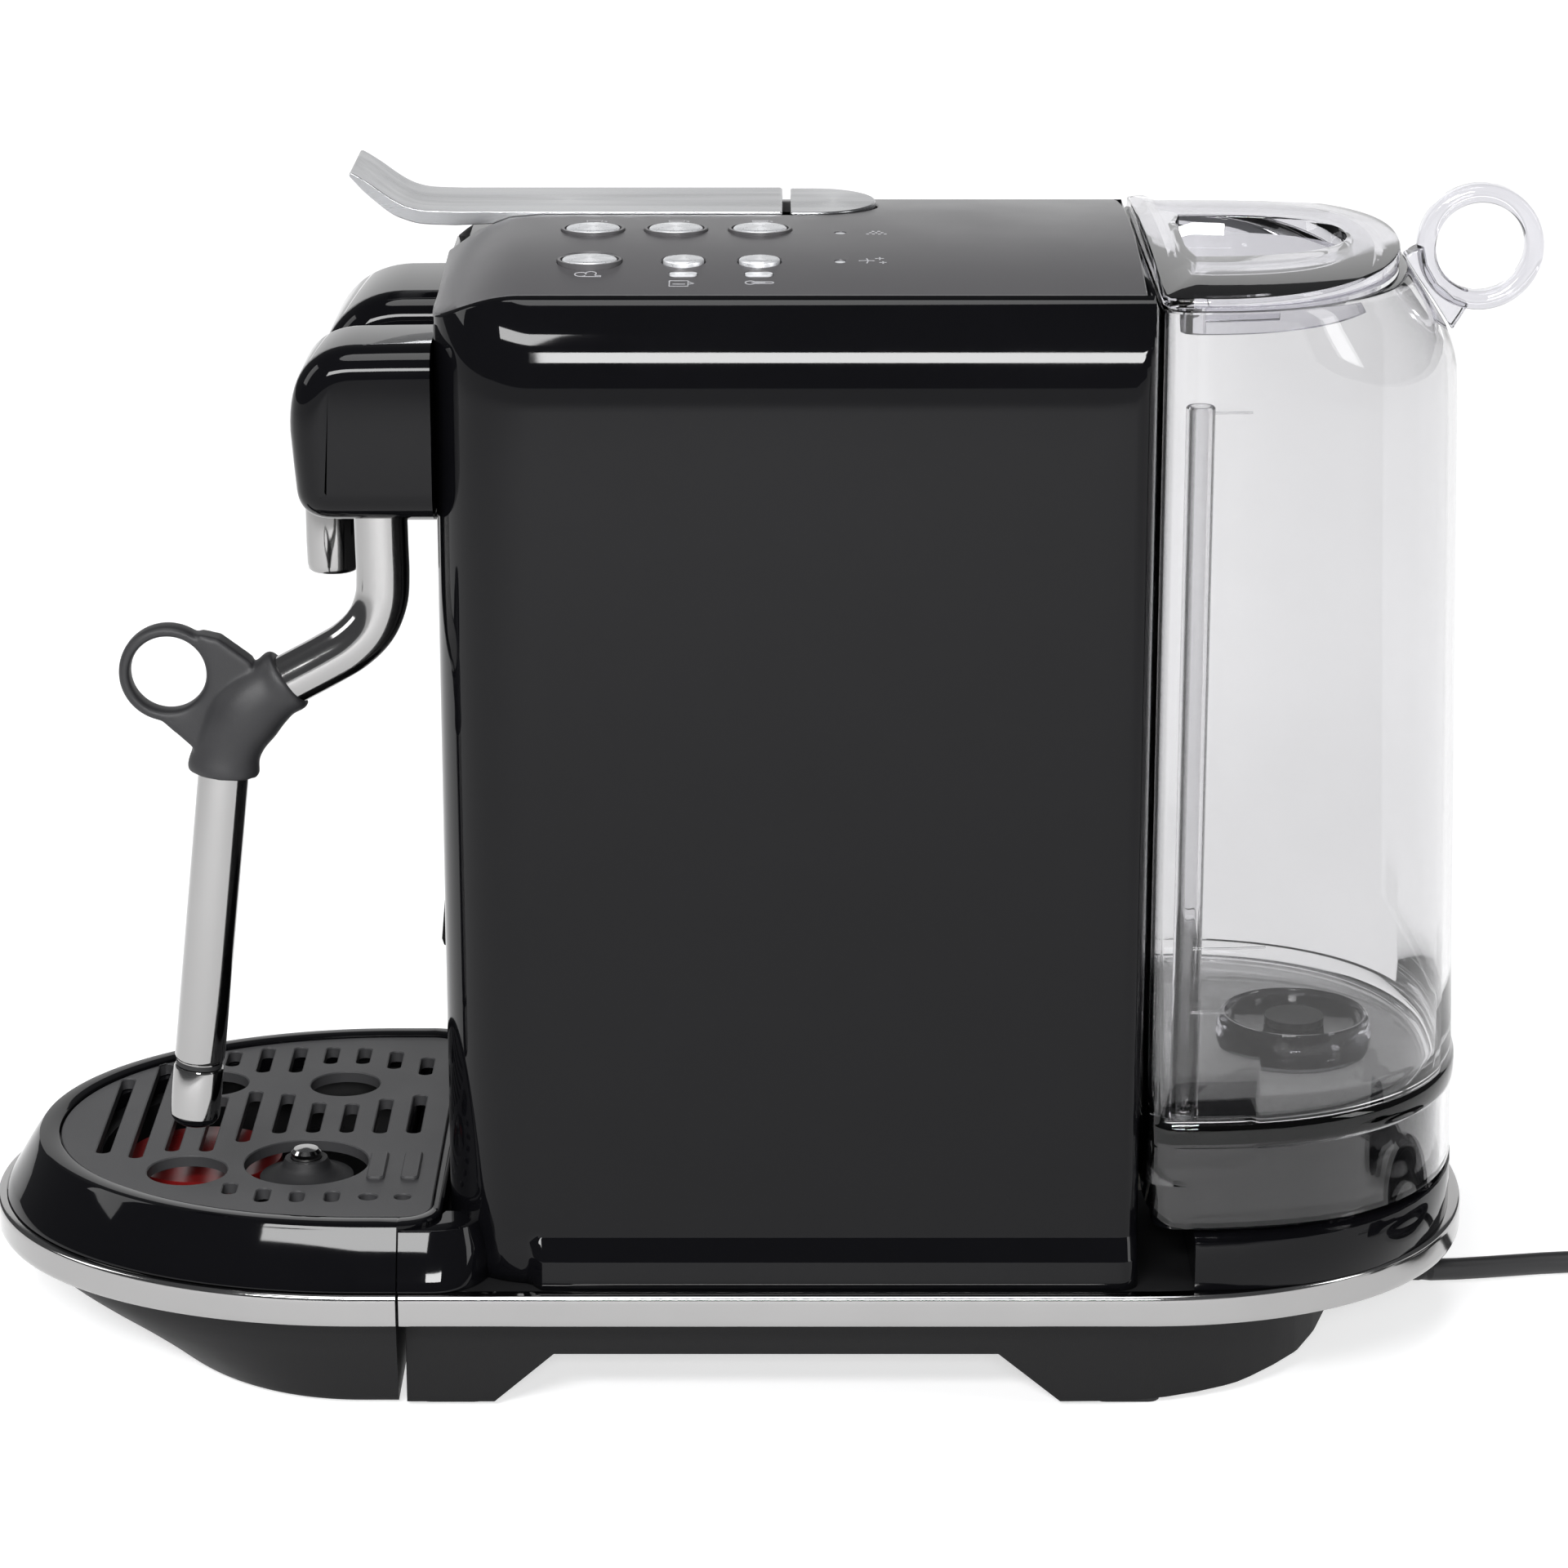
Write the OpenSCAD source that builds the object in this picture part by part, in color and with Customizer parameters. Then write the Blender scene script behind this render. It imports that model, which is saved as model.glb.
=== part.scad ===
// Pod coffee machine with a steam wand, a drip tray at the front and a clear water tank at the back.
// X points to the user's right, Y to the back, Z up. The origin is on the counter, under the middle of the machine.

/* [Base] */
// Width of the chrome band round the base
base_w = 170; // [168:0.5:172]
// Height of the bottom edge of the chrome band
band_z = 25; // [24:0.5:26]
// Height of the chrome band itself
band_h = 8.5; // [8:0.5:9]
// Height of the side arches between the feet
arch_h = 14.5; // [12:0.5:16]

/* [Body] */
// Width of the upper body
body_w = 151; // [150:0.5:152]
// Wall thickness of the body shell
wall = 2.5; // [2:0.1:3]
// Height of the middle of the crowned deck
deck_z = 295.7; // [295:0.1:296]
// Radius of the crown across the deck
crown_r = 363; // [340:1:400]

/* [Drip tray] */
// Height of the tray rim
rim_z = 49.6; // [49:0.1:50]
// Pitch of the slots in the grate
slot_pitch = 9.1; // [9:0.05:9.2]
// Width of one slot in the grate
slot_w = 3.8; // [3:0.1:4.4]

/* [Steam wand] */
// Radius of the wand tube
wand_r = 6.75; // [6:0.05:7]
// Sideways position of the wand
wand_x = 46; // [45:0.5:47]

/* [Buttons] */
// Radius of the four large buttons
btn_r = 6.9; // [6.5:0.05:7]
// Radius of the two small buttons
btn_small_r = 5.15; // [4.8:0.05:5.2]

/* [Water tank] */
// Wall thickness of the clear tank
tank_wall = 2.4; // [2:0.1:2.8]
// Radius of the middle of the carrying ring
ring_r = 13.9; // [13:0.1:14.2]

/* [Hidden] */
$fn = 48;

hw = base_w / 2;
bw = body_w / 2;
band_top = band_z + band_h;
pod_x = -29;
bin_x0 = -47;
bin_x1 = -5;
well = [29, -117.8];
valve_c = [-4.6, 147];
lever_x0 = -47;
lever_x1 = -11;
hinge = [5, 292];
steam_pivot = [-92.5, 240];
btn_pos = [[10.4, -39.6], [10.4, -18.5], [10.4, 2.9], [41.2, -39.4], [41.2, -16], [41.2, 2.9]];
btn_rad = [btn_r, btn_r, btn_r, btn_r, btn_small_r, btn_small_r];

// cord route along the counter, from the gland to the coil
cord_d = 6;
cord_pts = [[-6, 176, 5.5], [-6.5, 181, 4], [-7.2, 187, 3.1], [-8, 194, 3], [-9.2, 202, 3], [-10.6, 210, 3], [-12, 218, 3], [-13, 226, 3],
  [-13.4, 234, 3], [-13.2, 243, 3], [-13, 252, 3], [-13, 258, 3]];
coil_c = [20, 276];
coil_r = 33;

function arc(cx, cy, r, a0, a1, n = 6) = [for (i = [0:n]) let (a = a0 + (a1 - a0) * i / n) [cx + r * cos(a), cy + r * sin(a)]];
function rr(x0, y0, x1, y1, ra, rb, n = 6) = concat(arc(x0 + ra, y0 + ra, ra, 180, 270, n), arc(x1 - ra, y0 + ra, ra, 270, 360, n),
  arc(x1 - rb, y1 - rb, rb, 0, 90, n), arc(x0 + rb, y1 - rb, rb, 90, 180, n));
function sp(v, e) = sign(v) * pow(abs(v), 2 / e);
// nose: an outline with a rounded front of depth d and a straight rear edge; tail: the same the other way round
function nose(w, y0, d, y1, e = 2.05, n = 28) = concat([for (i = [0:n]) let (t = 180 * i / n) [w * sp(cos(t), e), y0 - d * sp(sin(t), e)]], [[-w, y1], [w, y1]]);
function tail(w, y0, y1, d, e = 2.15, n = 28) = concat([for (i = [0:n]) let (t = 180 * i / n) [w * sp(cos(t), e), y1 + d * sp(sin(t), e)]], [[-w, y0], [w, y0]]);
function crown(x) = deck_z - x * x / (2 * crown_r);
function bez(a, b, c, n = 6) = [for (i = [0:n]) let (t = i / n) a * (1 - t) * (1 - t) + b * 2 * t * (1 - t) + c * t * t];

module slab(z0, z1, p) translate([0, 0, z0]) linear_extrude(z1 - z0) polygon(p);
module along_y(y0, y1, p) translate([0, y1, 0]) rotate([90, 0, 0]) linear_extrude(y1 - y0) polygon(p);
module along_x(x0, x1, p) translate([x0, 0, 0]) rotate([90, 0, 90]) linear_extrude(x1 - x0) polygon(p);
module disc_x(x0, x1, y, z, r) translate([x0, y, z]) rotate([0, 90, 0]) cylinder(h = x1 - x0, r = r);
module rod(a, b, r) { d = b - a; translate(a) rotate([0, acos(d[2] / norm(d)), atan2(d[1], d[0])]) cylinder(h = norm(d), r = r); }

// tube swept along a list of points, with a ring at each point turned to the path
function unit(v) = v / norm(v);
function tang(p, i) = unit(p[min(i + 1, len(p) - 1)] - p[max(i - 1, 0)]);
module sweep(p, rad, up = [0, 0, 1], n = 10) {
  pts = [for (i = [0:len(p) - 1]) let (t = tang(p, i), a = unit(cross(t, up)), b = cross(a, t)) for (k = [0:n - 1]) p[i] + rad * (a * cos(360 * k / n) + b * sin(360 * k / n))];
  m = len(p);
  faces = concat([[for (k = [n - 1:-1:0]) k]], [[for (k = [0:n - 1]) (m - 1) * n + k]],
    [for (i = [0:m - 2]) for (k = [0:n - 1]) [i * n + k, i * n + (k + 1) % n, (i + 1) * n + (k + 1) % n, (i + 1) * n + k]]);
  polyhedron(points = pts, faces = faces);
}

// outer form of the upper body, without its plan: crowned across, sloping down at the front
module top_form(d, o = 0) {
  intersection() {
    along_y(-130, 130, concat([[-bw + o, 20], [bw - o, 20]], bez([bw - o, 262 - d], [bw - o, 281 - d], [66.5 - o, crown(66.5) - d]),
      [for (i = [1:23]) let (x = (66.5 - o) * (1 - i / 12)) [x, crown(x) - d]], bez([-66.5 + o, crown(66.5) - d], [-bw + o, 281 - d], [-bw + o, 262 - d])));
    along_x(-90, 90, [[-78 + o, 20], [130, 20], [130, 300 - d], [-52, 300 - d], [-57, 296 - d], [-63, 293.4 - d], [-70, 290 - d], [-75, 286.6 - d], [-78 + o, 282 - d]]);
  }
}
module body_form(d, o = 0) intersection() { top_form(d, o); slab(30, 310, rr(-bw + o, -78 + o, bw - o, 100 - o, 25 - o, 5)); }
module flare(s) along_y(-89, 100, [for (p = [[74, 60], [bw, 60], [bw, 46], [78.6, 41], [80.8, 37], [82.4, band_top], [74, band_top]]) [s * p[0], p[1]]]);

module base_chassis() color("#1b1b1d") difference() {
  intersection() {
    union() {
      slab(0, band_z, tail(77.5, -88.6, 90, 73));
      slab(band_z, band_top - 0.1, tail(80.8, -88.6, 100, 87.5));
    }
    along_x(-90, 90, [[-89, 1.2], [-66, 1.2], [-50.5, arch_h], [64.3, arch_h], [80.5, 1.2], [102, 1.4], [127, 2.7], [144, 5.9], [149, 9], [153, 14], [160, 24.8], [200, 25], [200, 40], [-89, 40]]);
  }
  difference() {
    slab(-1, 31.3, tail(75, -86, 90, 66));
    for (s = [-1, 1]) for (y = [-77, 98]) translate([s * 66 - 9.5, y - 9, 1]) cube([19, 18, 14]);
  }
}
module base_plate() color("#2a2a2c") difference() {
  slab(15.2, 17, tail(74.8, -85.8, 88, 58));
  for (x = [-66, 66]) for (y = [-77, 98]) translate([x, y, 14]) cylinder(h = 5, r = 2.2);
}
module rubber_feet() color("#151515") for (s = [-1, 1]) for (y = [-77, 98]) difference() {
  translate([0, 0, 0]) slab(0, 1.2, rr(s * 66 - 9, y - 8.5, s * 66 + 9, y + 8.5, 3, 3));
}
module base_screws() color("silver") for (x = [-66, 66]) for (y = [-77, 98]) translate([x, y, 0]) {
  translate([0, 0, 17]) cylinder(h = 1.6, r = 3.4);
  translate([0, 0, 15.1]) cylinder(h = 2, r = 2);
}
module body_band() color("silver") difference() {
  slab(band_z, band_top, tail(hw, -89.7, 100, 92));
  slab(band_z - 1, band_top + 1, tail(80.9, -95, 100, 87.6));
}
module casing() color("#101012") difference() {
  union() {
    difference() {
      union() {
        intersection() { body_form(0); translate([-100, -100, band_top]) cube([200, 220, 300]); }
        for (s = [-1, 1]) flare(s);
      }
      body_form(5.8, wall);
    }
    difference() {
      slab(band_top, 46.6, tail(82, 97, 112, 2, 6));
      slab(band_top - 1, 44.2, tail(79.4, 99, 111, 0.6, 6));
    }
  }
  difference() { slab(200, 310, rr(-66.65, -80, 66.65, 98.15, 3, 3)); top_form(3.05); }
  slab(260, 310, rr(-64.5, -74, 64.5, 96, 16, 3));
  translate([-50, -79, 50]) cube([100, 5, 228]);
  translate([6, 95, 35.5]) cube([24, 22, 23]);
  translate([-75.6, -92, 30]) cube([151.2, 13.9, 32]);
}
module front_cover() color("#101012") difference() {
  along_y(-78, -75.6, rr(-49.9, 50.1, 49.9, 277.9, 3, 3));
  translate([bin_x0 - 0.4, -80, 61.6]) cube([bin_x1 - bin_x0 + 0.8, 6, 51]);
  translate([32, -80, 240]) cube([28, 6, 25]);
  translate([pod_x - 12, -80, 225]) cube([24, 6, 30]);
}
module top_deck() color("#59595d") difference() {
  intersection() { top_form(0); slab(283, 310, rr(-66.5, -78, 66.5, 98, 3, 3)); slab(200, 310, rr(-bw, -78, bw, 100, 25, 5)); }
  top_form(3);
  slab(200, 310, rr(lever_x0 - 0.6, -81, lever_x1 + 0.6, 10.7, 1, 1));
  difference() { slab(291, 310, cap_plan(0.15)); }
  for (i = [0:5]) translate([btn_pos[i][0], btn_pos[i][1], 280]) cylinder(h = 30, r = i < 4 ? 8.05 : 5.5);
  for (y = [[-19.4, -12.4], [-0.7, 6.3]]) slab(280, 300, rr(49.4, y[0], 53.4, y[1], 1.6, 1.6));
  for (p = [[14, 23.3], [41.4, 23]]) translate([p[0], p[1], 280]) cylinder(h = 30, r = 1.35);
}
function cap_plan(o) = concat([[lever_x1 + o, 10.7], [lever_x0 - o, 10.7], [lever_x0 - o, 17]], [for (i = [1:15]) let (t = 180 - 12 * i + 0.01) [pod_x + (18 + o) * cos(t), 17 + (16 + o) * sin(t)]], [[lever_x1 + o, 17]]);
module lever_channel() color("#161617") difference() {
  union() {
    slab(286.4, 288.4, rr(lever_x0 - 0.5, -73, lever_x1 + 0.5, 10.6, 1, 1));
    for (s = [-1, 1]) {
      translate([pod_x + s * 12.5 - 1.4, hinge[0] - 3, 288]) cube([2.8, 5, 2.6]);
      translate([pod_x + s * 12.5 - 1.4, 0, 0]) disc_x(0, 2.8, hinge[0], hinge[1], 2.2);
      translate([pod_x + s * 12.5 - 1.4, hinge[0] - 2.1, 288]) cube([2.8, 4.2, 4]);
    }
  }
  slab(280, 295, rr(pod_x - 17, -52, pod_x + 17, -14, 6, 6));
  disc_x(-50, 0, hinge[0], hinge[1], 1.2);
}
module lever_pin() color("silver") disc_x(pod_x - 13.9, pod_x + 13.9, hinge[0], hinge[1], 1.2);
module lever_rear_cap() color("silver") slab(291.05, 296.1, cap_plan(0));
module button_bezels() color("#3a3a3d") for (i = [0:3]) translate([btn_pos[i][0], btn_pos[i][1], 0]) difference() {
  translate([0, 0, 288]) cylinder(h = crown(btn_pos[i][0]) + 0.5 - 288, r = 8);
  translate([0, 0, 280]) cylinder(h = 30, r = 7.3);
}
module indicator_windows() color("white") {
  for (y = [[-19.3, -12.5], [-0.6, 6.2]]) slab(288.2, crown(51.4) + 0.1, rr(49.5, y[0], 53.3, y[1], 1.5, 1.5));
  for (p = [[14, 23.3], [41.4, 23]]) translate([p[0], p[1], 288]) cylinder(h = crown(p[0]) - 288 - 0.2, r = 1.3);
}
module tank_stand(z0, z1, o) intersection() {
  slab(z0, z1, tail(72.3 - o, 103.8 + o, 112, 72.4 - o, 2.3));
  slab(z0 - 1, z1 + 1, rr(-72.3 + o, 103.8 + o, 72.3 - o, 200, 7, 7));
}
module rear_base_cover() color("#101012") difference() {
  union() {
    difference() {
      union() {
        slab(band_top, 46.6, tail(80.5, 114.3, 116, 72.5, 2.2));
        slab(46, 50, tail(66, 120, 122, 50, 2.2));
        tank_stand(46.9, 70.2, 0);
      }
      slab(band_top - 1, 44, tail(78, 116.8, 118, 67.6, 2.2));
      slab(40, 51, tail(63.6, 122.4, 124, 45.4, 2.2));
      tank_stand(49.6, 67.6, 2.6);
    }
    translate([valve_c[0], valve_c[1], 55.6]) cylinder(h = 13, r = 22.5);
  }
  translate([2, 112, 35]) cube([20, 8, 8.9]);
  translate([valve_c[0], valve_c[1], 30]) cylinder(h = 40, r = 3.6);
  translate([valve_c[0], valve_c[1], 58]) cylinder(h = 14, r = 20.6);
}
module valve_socket() color("#2a2a2c") translate([valve_c[0], valve_c[1], 0]) difference() {
  union() {
    translate([0, 0, 58]) cylinder(h = 4.6, r = 19);
    translate([0, 0, 36]) cylinder(h = 23, r = 3.5);
  }
  translate([0, 0, 60]) cylinder(h = 10, r = 15.6);
}
module shell_house(x0, x1, zt, zb, p, q, r) {
  difference() {
    intersection() {
      along_x(x0, x1, p);
      along_y(-130, -60, rr(x0, zb, x1, zt, r, r + 2));
      slab(200, 300, rr(x0, -119, x1, -50, 12, 2));
    }
    intersection() {
      along_x(x0 + wall, x1 - wall, q);
      along_y(-130, -60, rr(x0 + wall, zb + wall, x1 - wall, zt - wall, r - wall, r - 0.5));
      slab(200, 300, rr(x0 + wall, -119 + wall, x1 - wall, -50, 9, 2));
    }
  }
}
steam_p = concat([[-78.2, 231.5], [-105, 231.5]], bez([-105, 231.5], [-111.5, 232], [-112.2, 238.5], 4), [[-113.6, 255]], bez([-113.6, 262], [-113.4, 275], [-101, 275.4], 6), [[-78.2, 276]]);
steam_q = concat([[-70, 234], [-104, 234]], [[-109, 236], [-110, 242], [-111, 256]], bez([-111, 260], [-111, 272], [-100, 272.8], 5), [[-70, 273.4]]);
brew_p = concat([[-78.2, 214.5], [-108, 214.5]], bez([-108, 214.5], [-117, 215], [-117.5, 226], 4), [[-116.5, 238], [-113.6, 252]], bez([-111.6, 258], [-108, 274.5], [-92, 275.8], 6), [[-78.2, 276]]);
brew_q = concat([[-70, 217], [-107, 217]], [[-113, 219], [-115, 227], [-114, 238], [-111, 252]], bez([-109, 258], [-105, 272], [-92, 273.2], 5), [[-70, 273.4]]);
module steam_housing() color("#101012") difference() {
  shell_house(27, 65, 276, 231.5, steam_p, steam_q, 8);
  translate([wand_x - wand_r - 0.8, -109, 225]) cube([2 * wand_r + 1.6, 25, 12]);
  disc_x(20, 70, steam_pivot[0], steam_pivot[1], 2.5);
  translate([20, -78.1, 200]) cube([60, 20, 90]);
}
module wand_pin() color("silver") disc_x(27.6, 64.4, steam_pivot[0], steam_pivot[1], 2.5);
module brew_housing() color("#101012") difference() {
  shell_house(-55, -3, 276, 214.5, brew_p, brew_q, 8);
  translate([pod_x, -108.6, 205]) cylinder(h = 20, r = 5);
  translate([-60, -78.1, 200]) cube([60, 20, 90]);
}
module coffee_spout() color("silver") difference() {
  union() {
    translate([pod_x, -111.6, 196.5]) cylinder(h = 17.9, r = 7.2);
    translate([pod_x, -108.6, 214]) cylinder(h = 6, r = 4.95);
  }
  translate([pod_x, -110.4, 190]) cylinder(h = 22, r = 1.9);
}
module inner_frame() color("#8d9094") {
  difference() {
    translate([-70, 86, 33.5]) cube([140, 2, 230]);
    translate([20, 80, 43]) cube([20, 12, 34]);
  }
  translate([-70, -2, 138]) cube([140, 89, 2]);
  translate([-70, -2, 33.5]) cube([2, 89, 105]);
  translate([68, -2, 33.5]) cube([2, 89, 105]);
}
module water_pump() color("#c9c9c4") {
  translate([34, 14, 70]) rotate([-90, 0, 0]) cylinder(h = 46, r = 17);
  translate([34, 6, 70]) rotate([-90, 0, 0]) cylinder(h = 8, r = 8);
  translate([34, 60, 70]) rotate([-90, 0, 0]) cylinder(h = 18, r = 5);
  translate([22, 24, 33.5]) cube([24, 22, 22.2]);
}
module coffee_boiler() color("#b9bcc0") {
  translate([-62, 12, 140]) cube([52, 52, 62]);
  translate([-36, 38, 202]) cylinder(h = 10, r = 12);
}
module steam_boiler() color("#b9bcc0") {
  translate([34, 42, 140]) cylinder(h = 70, r = 26);
  translate([34, 42, 210]) cylinder(h = 8, r = 10);
}
module brew_chamber() color("#3a3a3d") difference() {
  translate([-50, -56, 206]) cube([42, 54, 58]);
  slab(214, 270, rr(pod_x - 17, -52, pod_x + 17, -14, 6, 6));
  translate([pod_x - 14, -15, 214]) cube([28, 20, 30]);
  translate([pod_x - 12, -45, 200]) cube([24, 24, 20]);
}
module brew_piston() color("#b9bcc0") union() {
  translate([pod_x, -12, 229]) rotate([-90, 0, 0]) cylinder(h = 9, r = 13.2);
  translate([pod_x, -3, 229]) rotate([-90, 0, 0]) cylinder(h = 8, r = 6);
}
module water_hose() color("#e8e4d8") sweep([for (p = [[4.4, 40.8], [12, 39.5], [22, 39], [34, 39], [42, 39.4], [50, 40.2], [56, 41.5], [61, 44.5], [65, 49.5], [67.5, 55.5], [69.5, 61], [72, 66], [74.4, 69.2], [76.4, 70]]) [valve_c[0] + 0.491 * p[0], valve_c[1] - 0.871 * p[0], p[1]]], 3, [0.871, 0.491, 0], 8);
module steam_pipe() color("silver") sweep([[34, 42, 218.2], [34, 41, 226], [35, 36, 234], [37, 26, 239], [40, 8, 241], [43, -20, 241], [45, -50, 241], [46, -74, 241]], 3, [1, 0, 0], 8);
module control_board() color("#1f5a34") {
  translate([0, -50, 276]) cube([58, 84, 1.6]);
  for (p = btn_pos) translate([p[0], p[1], 277.5]) cylinder(h = 2, r = 3);
  translate([20, 12, 277.5]) cube([14, 14, 3]);
}
module cord_gland() color("#1b1b1d") {
  translate([-13, 146.4, 9]) cube([14, 8, 22.2]);
  sweep([[-6, 153, 14.6], [-6, 156, 13.4], [-6, 163, 10.3], [-6, 170, 7.4], [-6, 176, 5.5]], 4.4, [1, 0, 0], 12);
}

module lever() color("silver") difference() {
  union() {
    along_x(lever_x0, lever_x1, concat(
      [[8.6, 294.4], [8.6, 295.9], [7.8, 296.3], [-76, 296.3], [-84, 296.6], [-88, 297.4], [-91, 298.7], [-94, 300.6], [-97, 302.8], [-100, 304.8], [-102.6, 306.3], [-103.4, 306.2], [-103.2, 305.2]],
      [[-100, 301.8], [-96.6, 298.8], [-92.4, 295.6], [-88, 293.8], [-84, 293], [-76, 292.6], [-56, 293.4], [-54, 294.4]]));
    for (s = [-1, 1]) translate([pod_x + s * 8.6 - 1.6, 0, 0]) {
      disc_x(0, 3.2, hinge[0], hinge[1], 2.2);
      translate([0, hinge[0] - 2.1, 292]) cube([3.2, 4.2, 3]);
    }
    for (s = [-1, 1]) translate([s > 0 ? lever_x1 - 1.6 : lever_x0, -55, 293]) cube([1.6, 46, 2]);
  }
  disc_x(-50, 0, hinge[0], hinge[1], 1.25);
}

module tray_housing() color("#101012") difference() {
  union() {
    hull() {
      slab(band_top + 0.1, band_top + 0.6, nose(82.6, -100, 101.6, -90.5));
      slab(39, 39.5, nose(80.4, -100, 98.6, -90.5));
      slab(rim_z - 1.6, rim_z, nose(75.2, -100, 92.6, -90.5));
    }
    slab(band_top + 0.7, rim_z, rr(-75.2, -100, 75.2, -79.5, 2, 11));
  }
  slab(45.5, 60, rr(-69.4, -120, 69.4, -82, 2, 8));
  slab(45.5, 60, nose(69.4, -100, 86.8, -95));
  slab(20, 60, nose(66, -100, 83.4, -92.6));
  slab(39, 60, rr(-66, -110, 66, -85, 2, 6));
}
module tray_band() color("silver") difference() {
  slab(band_z, band_top, nose(hw, -100, 104, -90.5));
  slab(band_z - 1, band_top + 1, nose(81, -100, 100, -60));
}
module tray_skirt() color("#1b1b1d") difference() {
  hull() {
    slab(0.8, 1.2, nose(75.5, -100, 55, -90.7));
    slab(5, 5.4, nose(77, -100, 62, -90.7));
    slab(14, 14.4, nose(79, -100, 82, -90.7));
    slab(band_z - 0.4, band_top, nose(80.9, -100, 97.6, -90.7));
  }
  slab(3.4, 60, nose(70, -100, 47, -93.2));
  slab(12, 60, nose(70.5, -100, 68, -93.2));
  slab(20, 60, nose(71, -100, 84, -93.2));
}
module drip_pan() color("#2c2c2e") difference() {
  union() {
    slab(14, 42, nose(64.5, -102, 62, -94));
    slab(23, 42, nose(64.5, -102, 76, -94));
    slab(40, 42, nose(65.6, -100, 82.8, -93));
  }
  slab(16, 60, nose(62.3, -102, 59.8, -96.2));
  slab(25, 60, nose(62.3, -102, 73.8, -96.2));
}
module sensor_boot() color("#1d1d1e") translate([well[0], well[1], 0]) difference() {
  rotate_extrude() polygon([[0, 16.1], [14, 16.1], [14, 18], [9, 19], [9, 42], [12.4, 43.5], [12.4, 45.2], [9, 46.4], [6.6, 48], [5.6, 50.2], [0, 50.2]]);
  translate([0, 0, 20]) cylinder(h = 60, r = 4.2);
}
module sensor_cap() color("silver") translate([well[0], well[1], 0]) {
  rotate_extrude() polygon([[0, 30], [2, 30], [2, 44], [4, 44], [4, 51.8], [3.2, 52.7], [0, 53]]);
}
module grate_slot(x0, x1, y) slab(40, 60, rr(x0, y - slot_w / 2, x1, y + slot_w / 2, slot_w / 2 - 0.05, slot_w / 2 - 0.05, 5));
module drip_grate() color("#77777a") difference() {
  union() {
    slab(45.7, 48.8, nose(69.1, -100, 86.5, -95));
    slab(45.7, 48.8, rr(-69.1, -110, 69.1, -82.3, 2, 8));
    for (y = [-101, -92]) slab(48, 49.6, rr(22.5, y, 42, y + 4.8, 1.5, 1.5));
  }
  far = [[-52, -38], [-57, -43], [-60, -47], [-60.5, -47], [-60.5, -40], [-60, -40], [-57, -45]];
  mid = [[-22, 7.5], [-19, 7.5], [-15, 7], [-16, 7], [-23, 7.5], [-25, 14], [-21, 21], [-38, 21], [-47, 26], [-35, 22.5]];
  near = [[50, 57.5], [50, 57.5], [48, 57.5], [44, 52]];
  for (i = [0:6]) grate_slot(far[i][0], far[i][1], -91 - slot_pitch * i);
  for (i = [0:9]) grate_slot(mid[i][0], mid[i][1], -91 - slot_pitch * i);
  for (i = [0:3]) grate_slot(near[i][0], near[i][1], -108.9 - slot_pitch * i);
  for (p = [[54, -90.4, 2.1], [54, -99.4, 2.4], [35, -148.8, 10.6], [-30.8, -112.5, 9.6], [-31.4, -149, 9.6], [well[0], well[1], 16.5]]) translate([p[0], p[1], 40]) cylinder(h = 20, r = p[2]);
}
module level_float() color("#b01818") {
  translate([3, -148, 37]) cylinder(h = 4, r = 21);
  translate([3, -148, 26]) cylinder(h = 11, r = 6);
}

wand_path = [[wand_x, -92.5, 229], [wand_x, -92.4, 222], [wand_x, -92.3, 214], [wand_x, -92.9, 207.5], [wand_x, -95.6, 201], [wand_x, -100.6, 195.8], [wand_x, -107, 191.8], [wand_x, -113.4, 188.3], [wand_x, -119.5, 185]];
module wand_upper_tube() color("silver") {
  sweep(wand_path, wand_r, [1, 0, 0], 16);
  difference() {
    union() {
      disc_x(wand_x - 7.2, wand_x + 7.2, steam_pivot[0], steam_pivot[1], 7.6);
      translate([wand_x, -92.5, 226]) cylinder(h = 12, r = wand_r + 0.1);
    }
    disc_x(20, 70, steam_pivot[0], steam_pivot[1], 2.56);
  }
}
module wand_grip() color("#343436") {
  difference() {
    union() {
      disc_x(wand_x - 4, wand_x + 4, -147.3, 188.6, 12.7);
      along_x(wand_x - 4, wand_x + 4, [[-147.5, 201.3], [-140, 199.8], [-126, 192], [-124, 170], [-142, 167], [-150.5, 176]]);
    }
    disc_x(20, 70, -147.3, 188.6, 9.6);
  }
  along_x(wand_x - 8.6, wand_x + 8.6, [[-142, 162.9], [-126.4, 161.1], [-124.4, 165.3], [-123.2, 169.6], [-120.6, 172.8], [-116.6, 175.4], [-115.4, 177.8], [-123.4, 192.1], [-126.8, 192.2], [-133, 194], [-136.4, 188], [-138, 180], [-143, 172], [-144.2, 166.6]]);
}
module wand_frame() translate([wand_x, -134.2, 162]) rotate([-6.45, 0, 0]) children();
module wand_lower_tube() color("silver") wand_frame() translate([0, 0, -78.6]) difference() { cylinder(h = 78.6, r = 6.5); translate([0, 0, -1]) cylinder(h = 70, r = 4.5); }
module wand_tip_seal() color("#141414") wand_frame() translate([0, 0, -79.8]) difference() { cylinder(h = 1.2, r = 6); translate([0, 0, -1]) cylinder(h = 4, r = 4.5); }
module wand_nozzle() color("silver") wand_frame() translate([0, 0, -96.6]) difference() {
  rotate_extrude() polygon([[0, 0], [3, 0.1], [5, 1], [6.2, 2.8], [6.6, 5], [6.6, 16.8], [0, 16.8]]);
  translate([0, 0, -1]) cylinder(h = 20, r = 1.2);
}

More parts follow.
